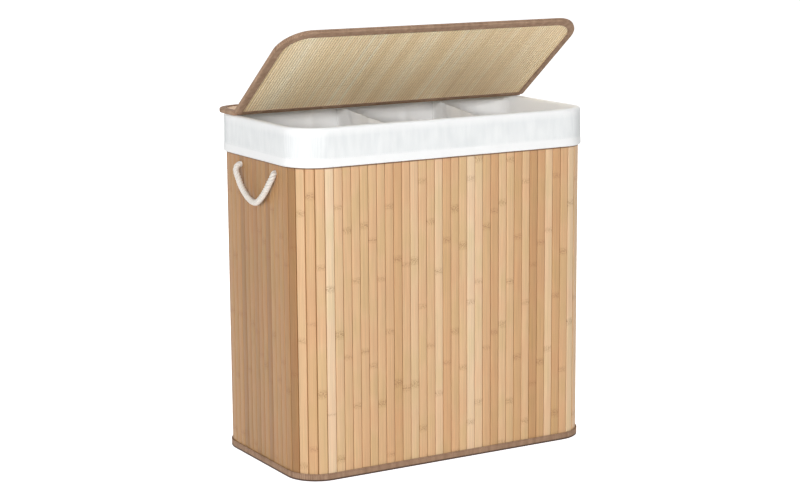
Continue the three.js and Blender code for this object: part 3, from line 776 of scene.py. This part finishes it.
def outline(half_x, low_y, high_y, radii, step):
    """Points a step apart round a rectangle with round corners, and the outward direction at each.
    radii: front left, front right, rear right, rear left."""
    centres = [(-half_x + radii[0], low_y + radii[0], 180), (half_x - radii[1], low_y + radii[1], 270),
               (half_x - radii[2], high_y - radii[2], 0), (-half_x + radii[3], high_y - radii[3], 90)]
    rough = []
    for (x, y, start), radius in zip(centres, radii):
        for k in range(25):
            angle = math.radians(start + 90 * k / 24)
            rough.append(Vector((x + radius * math.cos(angle), y + radius * math.sin(angle))))
    rough.append(rough[0])
    points = []
    spare = 0.0
    for a, b in zip(rough, rough[1:]):
        length = (b - a).length
        if length < 1e-9:
            continue
        direction = (b - a) / length
        while spare < length:
            points.append((a + direction * spare, Vector((direction.y, -direction.x))))
            spare += step
        spare -= length
    return points


def stitches(name, places, material, slot, body):
    """A row of sewing stitches: each lies along X of its place and stands out along Z."""
    deselect()
    bpy.ops.mesh.primitive_uv_sphere_add(segments=6, ring_count=4, radius=0.5)
    blank = bpy.context.object
    blank.scale = (STITCH_LENGTH, STITCH_THICKNESS, STITCH_THICKNESS)
    bpy.ops.object.transform_apply(scale=True)
    row = laid(name, blank, places, [(0, 0)] * len(places))
    bpy.data.objects.remove(blank)
    smooth(row, 80)
    finish_piece(row, body, material, slot)


def facing(at, along, out):
    """A place with X along a seam and Z out of the cloth."""
    along, out = along.normalized(), out.normalized()
    across = out.cross(along)
    return Matrix((
        (along.x, across.x, out.x, at.x), (along.y, across.y, out.y, at.y),
        (along.z, across.z, out.z, at.z), (0, 0, 0, 1)))


def edge_binding(name, node, edge_low):
    """A strip folded round the mat's bottom or top edge, sewn through near its free edge."""
    low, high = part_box(node)
    radius = CORNER_RADIUS - (HALF_WIDTH - high[0])
    edge = -1 if edge_low else 1
    inner_fold = (0, 0, -edge * 0.8 * (high[2] - low[2]))
    strip = rounded_block(name, low, high, radius)
    # The open side goes; the folded side keeps a lip, turned in behind the mat
    edit(strip, "FACE", lambda f: f.normal.z * edge < -0.9, DELETE_FACES)
    edit(strip, "FACE", lambda f: f.normal.z * edge > 0.9, border(EDGE_LIP),
         (bpy.ops.mesh.extrude_region_move, {"TRANSFORM_OT_translate": {"value": inner_fold}}), DELETE_FACES)
    soften(strip, 0.0008, 3, 50)
    modify(strip, "SOLIDIFY", thickness=BINDING_THICKNESS, offset=-1, use_even_offset=True)
    smooth(strip, 50)
    finish_piece(strip, "body", binding_cloth, "binding_cloth", node)
    z = (high[2] if edge_low else low[2]) + edge * SEAM_INSET
    places = [facing(Vector((at.x, at.y, z)) + Vector((*out, 0)) * STITCH_THICKNESS / 6,
                     Vector((-out.y, out.x, 0)), Vector((*out, 0)))
              for at, out in outline(high[0], low[1], high[1], [radius] * 4, STITCH_PITCH)]
    stitches(f"{name}_stitches", places, thread_brown, "binding_cloth", "body")


edge_binding("bottom_edge_binding", "binding_bottom", True)
edge_binding("top_edge_binding", "binding_top", False)


def flat_cloth(name, node, radius, material, slot, border_width=0):
    """A level cloth with rounded corners."""
    low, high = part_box(node)
    cloth = rounded_block(name, low, high, radius)
    if border_width:
        edit(cloth, "FACE", is_level, border(border_width))
    soften(cloth, 0.0004, 2, 50)
    smooth(cloth, 30)
    finish_piece(cloth, "body", material, slot, node)


# The cloth sewn under the base board, its edge tucked in behind the binding
flat_cloth("base_cloth_panel", "base_cloth", CORNER_RADIUS - (HALF_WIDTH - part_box("base_cloth")[1][0]),
           binding_cloth, "binding_cloth")


# Liner
rim_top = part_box("liner_cuff")[1][2]
cuff_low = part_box("liner_cuff")[0][2]
liner_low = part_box("liner_left")[0][2]
cap_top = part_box("post_cap_front_left")[1][2]
liner_out = HALF_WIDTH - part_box("liner_right")[1][0] + CLOTH_THICKNESS / 2
liner_radius = HALF_WIDTH - liner_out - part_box("liner_front")[1][0]
rear_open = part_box("rear_hinge_cloth")[1][0]
# The cotton is paler where it lies double in the hem. Painted light: it is also paler inside the hamper,
# standing in for light in the shaded bins, and a pale band over the rim is a painted highlight where light
# falls on the fold
# Painted light: paler inside the hamper, where the bins lie in shade under the lid
tinted_inside(liner_cotton, "#FBFBFB")
tinted_band(liner_cotton, cuff_low - 0.004, cuff_low + HEM_HEIGHT, 0.005, "#FBFCFC")
# Painted highlight: a pale band where light falls on the cloth's fold over the rim
tinted_band(liner_cotton, rim_top - 0.010, rim_top + 0.020, 0.014, "#FBFCFC")
# Painted shade: a dark line on the slats just below the hem, the shadow that the hem casts on them
tinted_band(bamboo, cuff_low - 0.0028, cuff_low + 0.030, 0.0012, "#6E4A30")
# Painted shade: a dark line on the binding along the floor, the contact shadow where it meets the floor
tinted_band(binding_cloth, -0.010, 0.0030, 0.0012, "#4A342B")


def cuff_inset(z):
    """Inset of the cuff's cloth at a height: it hangs off the wall a little towards its hem."""
    flare = CUFF_FLARE * ((rim_top - z) / (rim_top - cuff_low)) ** 1.5
    bulge = 0.0004 * math.sin(math.pi * min(1, (z - cuff_low) / HEM_HEIGHT))
    return CLOTH_THICKNESS / 2 - flare - bulge


def liner_profile():
    """From the turned-in hem up the outside, over the rim and down the inside: inset from the
    hamper's outline, corner radius and height of each row, and how freely the cloth may wave
    there. Returns the rows and how many of them belong to the cuff."""
    middle = CLOTH_THICKNESS / 2
    top = rim_top - middle
    bend = top - RIM_TURN
    rows = []
    # The hem is turned in and lies double
    fold = 0.6 * CLOTH_THICKNESS
    low = cuff_low + middle + fold
    for share in (1.0, 0.6, 0.3):
        z = low + (HEM_HEIGHT - middle) * share
        rows.append((cuff_inset(z) + 2 * fold, None, z, 1))
    for k in range(5):
        angle = math.pi * k / 4
        rows.append((cuff_inset(low) + fold * (1 + math.cos(angle)), None, low - fold * math.sin(angle), 1))
    for k in range(1, 19):
        z = cuff_low + (bend - cuff_low) * k / 18
        rows.append((cuff_inset(z), None, z, min(1, (top - z) / 0.02)))
    cuff_rows = len(rows)
    for k in range(1, 6):
        angle = 0.5 * math.pi * k / 5
        rows.append((middle + RIM_TURN * (1 - math.cos(angle)), None, bend + RIM_TURN * math.sin(angle), 0.1))
    for k in range(6):
        angle = 0.5 * math.pi * k / 5
        rows.append((liner_out - RIM_TURN * (1 - math.sin(angle)), None,
                     top - RIM_TURN * (1 - math.cos(angle)), 0.1))
    # Over the post caps the cloth slopes in at the corners
    outer_radius = CORNER_RADIUS - liner_out
    for k in range(1, 5):
        share = k / 4
        rows.append((liner_out, outer_radius + (liner_radius - outer_radius) * share,
                     bend + (cap_top + middle + SEAT_GAP - bend) * share, 0.1))
    start = cap_top - 0.002
    for k in range(31):
        z = start + (liner_low - start) * k / 30
        rows.append((liner_out, liner_radius, z, math.sin(math.pi * k / 30) ** 0.5))
    return rows, cuff_rows


def liner_columns():
    """Stations round the hamper: which straight or corner, and the share of it passed."""
    columns = []
    for length in (2 * HALF_WIDTH - 2 * CORNER_RADIUS, 2 * HALF_DEPTH - 2 * CORNER_RADIUS) * 2:
        columns.append(("straight", round(length / CLOTH_GRID)))
        columns.append(("corner", CORNER_COLUMNS))
    return [(index, kind, k / count) for index, (kind, count) in enumerate(columns)
            for k in range(count)]


def station(index, kind, share, inset, radius):
    """A station's place and outward direction on a loop with this inset and corner radius."""
    quarter = index // 2
    turn = quarter * 0.5 * math.pi
    wide = quarter % 2 == 0
    half_run = (HALF_WIDTH if wide else HALF_DEPTH) - inset - radius
    stand = (HALF_DEPTH if wide else HALF_WIDTH) - inset
    along = Vector((math.cos(turn), math.sin(turn)))
    out = Vector((math.sin(turn), -math.cos(turn)))
    if kind == "straight":
        return along * half_run * (2 * share - 1) + out * stand, out
    angle = turn + 0.5 * math.pi * share
    direction = Vector((math.sin(angle), -math.cos(angle)))
    return along * half_run + out * (stand - radius) + direction * radius, direction


def push_by_knots(at, z):
    """How far the liner stands in where it passes over the rope knots."""
    off = min(math.hypot(at.y - along, 0.8 * (z - rope_height)) for along in ROPE_HOLES.values())
    on_end_wall = abs(at.x) > HALF_WIDTH - 0.03
    return KNOT_PUSH * math.exp(-((off / KNOT_REACH) ** 4)) if on_end_wall else 0


def cuff_shift(spot, z, free, round_it):
    """The cuff's waves, the dent along its hem's seam and the puckers that the stitches pull."""
    wave = 0.0009 * noise.noise(spot) + 0.0004 * noise.noise(2.7 * spot)
    near_seam = math.exp(-(((z - cuff_low - HEM_HEIGHT) / 0.004) ** 2))
    swing = 2 * math.pi * round_it / PUCKER_PITCH + 4 * noise.noise(spot * 3)
    return free * wave - 0.0003 * near_seam + 0.00022 * near_seam * math.sin(swing)


def wall_shift(spot, at, z, free):
    """The inner walls' folds and sag, the rear wall's creases and the rope knots' push."""
    fold = 0.0035 * noise.noise(0.6 * spot) + 0.0014 * noise.noise(1.9 * spot)
    bow = 0.003 * max(0, math.cos(3 * math.pi * at.x / (2 * HALF_WIDTH))) ** 2
    crease = max(math.exp(-(((at.x - x) / 0.008) ** 2)) for x in REAR_CREASES) if at.y > 0 else 0
    return -free * (abs(fold) + bow) - CREASE_DEPTH * crease - push_by_knots(at, z)


def at_rear_opening(corners):
    """Whether a face lies where the cuff is left open for the hinge cloth."""
    middle = sum(corners, Vector()) / 4
    return middle.y > HALF_DEPTH - REAR_BAND and min(abs(c.x) for c in corners) < rear_open + SEAT_GAP


def liner_bag():
    (rows, cuff_rows), columns = liner_profile(), liner_columns()
    points, faces = [], []
    for row, (inset, radius, z, free) in enumerate(rows):
        radius = CORNER_RADIUS - inset if radius is None else radius
        on_cuff = row < cuff_rows
        for column, place in enumerate(columns):
            at, out = station(*place, inset, radius)
            spot = Vector((at.x * 22, at.y * 22, z * (9 if on_cuff else 5)))
            shift = (cuff_shift(spot, z, free, column * CLOTH_GRID) if on_cuff
                     else wall_shift(spot, at, z, free))
            points.append(Vector((*(at + out * shift), z)))
    count = len(columns)
    for row in range(len(rows) - 1):
        for column in range(count):
            right = (column + 1) % count
            corners = [row * count + column, row * count + right,
                       (row + 1) * count + right, (row + 1) * count + column]
            # The opening goes on over the rim's first rows, out of the way of the lifted hinge cloth
            if row > cuff_rows + 2 or not at_rear_opening([points[c] for c in corners]):
                faces.append(corners)
    bag = from_points("cotton_liner_bag", points, faces)
    modify(bag, "SOLIDIFY", thickness=CLOTH_THICKNESS, offset=0, use_even_offset=True)
    smooth(bag, 60)
    finish_piece(bag, "body", liner_cotton, "liner_cotton", "liner_cuff", "liner_front", "liner_rear",
                 "liner_left", "liner_right")


liner_bag()


flat_cloth("liner_floor_cloth", "liner_floor", liner_radius - CLOTH_THICKNESS,
           liner_cotton, "liner_cotton", border_width=0.006)


def grid_faces(rows, columns):
    """The faces between the points of a grid that has one more row and one more column."""
    starts = [row * (columns + 1) + column for row in range(rows) for column in range(columns)]
    return [[a, a + columns + 1, a + columns + 2, a + 1] for a in starts]


def divider(name):
    """A cloth wall between two bins, sewn in at the rear and the front. It bows and creases."""
    low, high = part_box(f"divider_{name}")
    rear, front = high[1], low[1]
    rear_x, front_x = DIVIDER_SEAMS[name]
    rows, columns = 96, 64
    points = []
    for row in range(rows + 1):
        v = row / rows
        for column in range(columns + 1):
            u = column / columns
            sag = math.sin(math.pi * u)
            spot = Vector((u * 5 + (7 if name == "left" else 0), v * 9 + u * 3, 3))
            crease = 0.0026 * noise.noise(spot) + 0.0016 * noise.noise(2.6 * spot)
            x = rear_x + u * (front_x - rear_x) + sag ** 0.5 * (0.4 + 0.6 * v) * crease
            x += DIVIDER_BOW * sag * math.sin(math.pi * v)
            top = high[2] - CLOTH_THICKNESS / 2 - 0.001 * sag
            points.append(Vector((x, rear + u * (front - rear), low[2] + v * (top - low[2]))))
    panel = from_points(f"divider_panel_{name}", points, grid_faces(rows, columns))
    modify(panel, "SOLIDIFY", thickness=CLOTH_THICKNESS, offset=0)
    smooth(panel, 60)
    finish_piece(panel, "body", liner_cotton, "liner_cotton", f"divider_{name}")


divider("left")
divider("right")


def cuff_stitches():
    z = cuff_low + HEM_HEIGHT
    inset = cuff_inset(z) + 0.0003
    places = []
    for column in liner_columns():
        at, out = station(*column, inset, CORNER_RADIUS - inset)
        if at.y <= HALF_DEPTH - REAR_BAND or abs(at.x) >= rear_open + 0.002:
            stand = Vector((*(at + out * CLOTH_THICKNESS / 2), z))
            places.append(facing(stand, Vector((-out.y, out.x, 0)), Vector((*out, 0))))
    stitches("cuff_hem_stitches", places, thread_white, "liner_cotton", "body")


cuff_stitches()


# Lid
lid_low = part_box("strip_binding")[0][2]
lid_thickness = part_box("strip_binding")[1][2] - lid_low
lid_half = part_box("strip_binding")[1][0]
fold_y, fold_z = joints["lid_fold"]["pos_m"][1:]
open_angle = math.radians(joints["lid_fold"]["range_deg"][0])
strip_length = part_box("strip_binding")[1][1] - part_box("strip_binding")[0][1]
strip_place = Matrix.Translation((0, fold_y + FOLD_EDGE_GAP, lid_low))
flap_place = (Matrix.Translation((0, fold_y, fold_z)) @ Matrix.Rotation(open_angle, 4, "X")
              @ Matrix.Translation((0, -FOLD_EDGE_GAP, lid_low - fold_z)) @ Matrix.Rotation(math.pi, 4, "Z"))


def corner_reach(past, inset):
    """How far a lid panel reaches beyond its corner's centre, this far past it sideways."""
    return math.sqrt(max(0, (LID_CORNER_RADIUS - inset) ** 2 - past ** 2))


def panel_reach(x, length, inset):
    """How far a lid panel reaches from the fold at this place across it."""
    past = abs(x) - (lid_half - LID_CORNER_RADIUS)
    if past <= 0:
        return length - inset
    return length - LID_CORNER_RADIUS + corner_reach(past, inset)


def rounded_splint():
    """One splint on its flat back, the side that faces down rounded over; 1 m long."""
    width = SPLINT_PITCH - 0.0003
    splint = block("splint", (-width / 2, 0, 0), (width / 2, 1, SPLINT_THICKNESS))
    edit(splint, "EDGE", lambda e: runs_along(e, 1) and e.verts[0].co.z < SPLINT_THICKNESS / 2,
         rounding(0.0013, 3))
    return splint


def banded_tones(count):
    """Tones that drift from one splint to the next, with a little of each one's own."""
    drift, tones = 0.5, []
    for _ in range(count):
        drift += chance.uniform(-0.15, 0.15) - 0.2 * (drift - 0.5)
        tones.append((min(1, max(0, drift + chance.uniform(-0.16, 0.16))), chance.uniform(0, 9)))
    return tones


def across_panel(place, pitch, length, inset, height):
    """Places for strips that run from the fold to the far edge, side by side across a panel."""
    count = int(2 * (lid_half - inset) / pitch)
    places = []
    for k in range(count):
        x = (k + 0.5 - count / 2) * pitch
        reach = panel_reach(abs(x) + pitch / 2, length, inset)
        spot = Matrix.Translation((x, inset, height)) @ Matrix.Diagonal((1, reach - inset, 1, 1))
        places.append(place @ spot)
    return places


def lining_thread(place, y, length, inset):
    """A cross thread that goes over one splint and under the next."""
    past = y - (length - LID_CORNER_RADIUS)
    half = lid_half - inset
    if past > 0:
        half = lid_half - LID_CORNER_RADIUS + corner_reach(past, inset)
    steps = int(half / SPLINT_PITCH) * 2
    return [place @ Vector((step * SPLINT_PITCH / 2, y + THREAD_WAVE * math.sin(2.1 * step),
                            inset - 0.0001 + (THREAD_WAVE if step % 2 else 0)))
            for step in range(-steps, steps + 1)]


def lid_panel(prefix, length, place, body):
    inset = BINDING_THICKNESS + SEAT_GAP
    # Lining of splints, and the threads that hold them
    blank = rounded_splint()
    places = across_panel(place, SPLINT_PITCH, length, inset, inset)
    lining = laid(f"{prefix}_splint_lining", blank, places, banded_tones(len(places)))
    bpy.data.objects.remove(blank)
    smooth(lining, 50)
    finish_piece(lining, body, splint_bamboo, "bamboo_splints", f"{prefix}_splints")
    count = int(length / SPLINT_THREAD_PITCH)
    threads = [lining_thread(place, k * length / (count + 1), length, inset) for k in range(1, count + 1)]
    weft = joined_tubes(f"{prefix}_lining_threads", threads, SPLINT_THREAD_RADIUS, 4)
    finish_piece(weft, body, thread_straw, "bamboo_splints")
    # Slats on the upper face
    slat_height = lid_thickness - inset - LID_SLAT_THICKNESS
    blank = slat_blank("lid_slat", LID_SLAT_PITCH - SLAT_GAP, 1, LID_SLAT_THICKNESS)
    places = across_panel(place, LID_SLAT_PITCH, length, inset, slat_height)
    top = laid(f"{prefix}_top_slats", blank, places, [slat_tone(*LIGHT_TONES) for _ in places])
    bpy.data.objects.remove(blank)
    smooth(top)
    finish_piece(top, body, bamboo, "bamboo_slats", f"{prefix}_slats")
    lid_binding(prefix, length, place, body)


def lid_binding(prefix, length, place, body):
    """The cloth strip folded round a panel's edge and sewn through both faces."""
    strip = block(f"{prefix}_edge_binding", (-lid_half, 0, 0), (lid_half, length, lid_thickness))
    edit(strip, "EDGE", lambda e: runs_along(e, 2) and e.verts[0].co.y > length / 2,
         rounding(LID_CORNER_RADIUS, 16))
    edit(strip, "FACE", is_level, border(BINDING_WIDTH), DELETE_FACES)
    # The lip is narrower along the fold
    edit(strip, "VERT", lambda v: abs(v.co.y - BINDING_WIDTH) < 1e-5,
         (bpy.ops.transform.translate, {"value": (0, BINDING_FOLD_WIDTH - BINDING_WIDTH, 0)}))
    edit(strip, "EDGE", lambda e: runs_along(e, 2) and e.verts[0].co.y < 1e-5,
         rounding(LID_FOLD_CORNER_RADIUS, 4))
    soften(strip, 0.0022, 4, 60)
    modify(strip, "SOLIDIFY", thickness=BINDING_THICKNESS, offset=-1, use_even_offset=True)
    strip.data.transform(place)
    smooth(strip, 50)
    finish_piece(strip, body, binding_cloth, "binding_cloth", f"{prefix}_binding")
    # Stitches on both faces, a little inside the free edge of the lip
    rows = []
    inset, fold_inset = BINDING_WIDTH - 0.0022, BINDING_FOLD_WIDTH - 0.0018
    for z, out in ((0, -1), (lid_thickness, 1)):
        for at, aside in outline(lid_half - inset, fold_inset, length - inset,
                                 [0.002, 0.002] + [LID_CORNER_RADIUS - inset] * 2, STITCH_PITCH):
            rows.append(place @ facing(Vector((at.x, at.y, z - out * STITCH_THICKNESS / 6)),
                                       Vector((-aside.y, aside.x, 0)), Vector((0, 0, out))))
    stitches(f"{prefix}_binding_stitches", rows, thread_brown, "binding_cloth", body)


lid_panel("strip", strip_length, strip_place, "lid_strip")
lid_panel("flap", FLAP_LENGTH, flap_place, "lid_flap")


def folded_cloth(name, half, line, thickness):
    """A cloth that lies along X between two ends and follows a line of (y, z) points."""
    columns = round(2 * half / 0.012)
    points = [Vector((half * (2 * column / columns - 1), y, z))
              for y, z in line for column in range(columns + 1)]
    faces = [[a, d, c, b] for a, b, c, d in grid_faces(len(line) - 1, columns)]
    cloth = from_points(name, points, faces)
    modify(cloth, "SOLIDIFY", thickness=thickness, offset=0)
    smooth(cloth, 50)
    return cloth


def fold_tape():
    """The tape over the fold: half on the rear strip, half on the flap, bent to the lid's open angle."""
    half = lid_half - BINDING_FOLD_WIDTH
    line = [(fold_y + TAPE_WIDTH * (1 - k / 10), fold_z) for k in range(10)]
    for k in range(10):
        reach = TAPE_WIDTH * (k + 1) / 10
        line.append((fold_y - reach * math.cos(open_angle), fold_z - reach * math.sin(open_angle)))
    tape = folded_cloth("fold_tape_cloth", half, line, TAPE_THICKNESS)
    finish_piece(tape, None, binding_cloth, "binding_cloth", "fold_tape")
    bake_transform(tape)


fold_tape()


def rear_hinge():
    """The cloth sewn down the rear wall; its top turns out under the strip and lets it lift."""
    low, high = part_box("rear_hinge_cloth")
    middle = (low[1] + high[1]) / 2
    top = high[2] - 0.0008
    bend = top - HINGE_TURN
    line = [(middle, low[2] + (bend - low[2]) * k / 12) for k in range(13)]
    for k in range(1, 7):
        angle = 0.5 * math.pi * k / 6
        line.append((middle + HINGE_TURN * (1 - math.cos(angle)), bend + HINGE_TURN * math.sin(angle)))
    line += [(middle + HINGE_TURN + 0.0012 * k, top) for k in range(1, 5)]
    cloth = folded_cloth("rear_hinge_panel", high[0], line[::-1], BINDING_THICKNESS)
    finish_piece(cloth, None, binding_cloth, "binding_cloth", "rear_hinge_cloth")
    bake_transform(cloth)
    count = int(high[0] / STITCH_PITCH)
    rows = [facing(Vector((x * STITCH_PITCH, high[1] + STITCH_THICKNESS / 6, low[2] + 0.004)),
                   Vector((1, 0, 0)), Vector((0, 1, 0))) for x in range(-count, count + 1)]
    stitches("rear_hinge_stitches", rows, thread_brown, "binding_cloth", "body")


rear_hinge()


# CAD nodes that keep their shape get their real finish
for node_name, node in frame["nodes"].items():
    for mark, finish in (("post_foot", cap_plastic), ("post_cap", cap_plastic), ("post_", dowel),
                         ("_board", hardboard), ("rim_wire", wire_zinc)):
        if mark in node_name:
            node.data.materials.clear()
            node.data.materials.append(finish)
            break


# Floor, background and lights
def seen_by(tree, *rays):
    """1 for rays of these kinds, else 0."""
    path = add(tree, "ShaderNodeLightPath")
    share = path.outputs[rays[0]]
    for ray in rays[1:]:
        share = calc(tree, "MAXIMUM", share, path.outputs[ray])
    return share


def pale_floor():
    bpy.ops.mesh.primitive_plane_add(size=60, location=(0, 0, -0.0004))
    floor = bpy.context.object
    floor.name = "studio_floor"
    material, tree, shader = new_material("white_paper_sweep", Roughness=0.9, Base_Color=linear("#F2F2F2"))
    glow = add(tree, "ShaderNodeEmission", {"Strength": FLOOR_GLOW})
    lit = add(tree, "ShaderNodeAddShader", {0: shader.outputs[0], 1: glow.outputs[0]})
    mixed = add(tree, "ShaderNodeMixShader", {0: seen_by(tree, "Is Camera Ray", "Is Glossy Ray"),
                                              1: shader.outputs[0], 2: lit.outputs[0]})
    tree.links.new(mixed.outputs[0], tree.nodes["Material Output"].inputs["Surface"])
    floor.data.materials.append(material)


def studio_world():
    world = bpy.data.worlds.new("white_studio")
    bpy.context.scene.world = world
    world.use_nodes = True
    tree = world.node_tree
    tree.nodes.clear()
    lighting = add(tree, "ShaderNodeBackground", {"Color": (1, 1, 1, 1), "Strength": WORLD_LIGHT})
    shown = add(tree, "ShaderNodeBackground", {"Color": (1, 1, 1, 1), "Strength": 1.0})
    share = seen_by(tree, "Is Camera Ray", "Is Glossy Ray", "Is Transmission Ray")
    mixed = add(tree, "ShaderNodeMixShader", {0: share, 1: lighting.outputs[0], 2: shown.outputs[0]})
    out = add(tree, "ShaderNodeOutputWorld")
    tree.links.new(mixed.outputs[0], out.inputs["Surface"])


def softbox(name, place, target, size, power):
    data = bpy.data.lights.new(name, "AREA")
    data.shape = "RECTANGLE"
    data.size, data.size_y = size
    data.energy = power
    lamp = bpy.data.objects.new(name, data)
    bpy.context.collection.objects.link(lamp)
    lamp.location = place
    lamp.rotation_mode = "QUATERNION"
    lamp.rotation_quaternion = (Vector(target) - Vector(place)).to_track_quat("-Z", "Y")


pale_floor()
studio_world()
softbox("key_softbox", (-5.4, -4.86, 2.0), (0, 0, 0.6), (1.0, 1.0), 288)
softbox("front_softbox", (-0.6, -6.8, 1.8), (0, 0, 0.6), (3.0, 0.9), 66)
softbox("left_softbox", (-6.6, -1.8, 1.75), (0, 0, 0.6), (2.4, 1.2), 15)
softbox("right_softbox", (5.6, -4.2, 1.6), (0, 0, 0.6), (2.0, 1.0), 32)
softbox("top_softbox", (0, 0, 4.2), (0, 0, 0), (3.0, 3.0), 20)
softbox("rear_softbox", (2.4, 2.8, 3.4), (0, 0, 0.3), (1.6, 1.6), 85)
bpy.context.scene.view_settings.view_transform = "Standard"
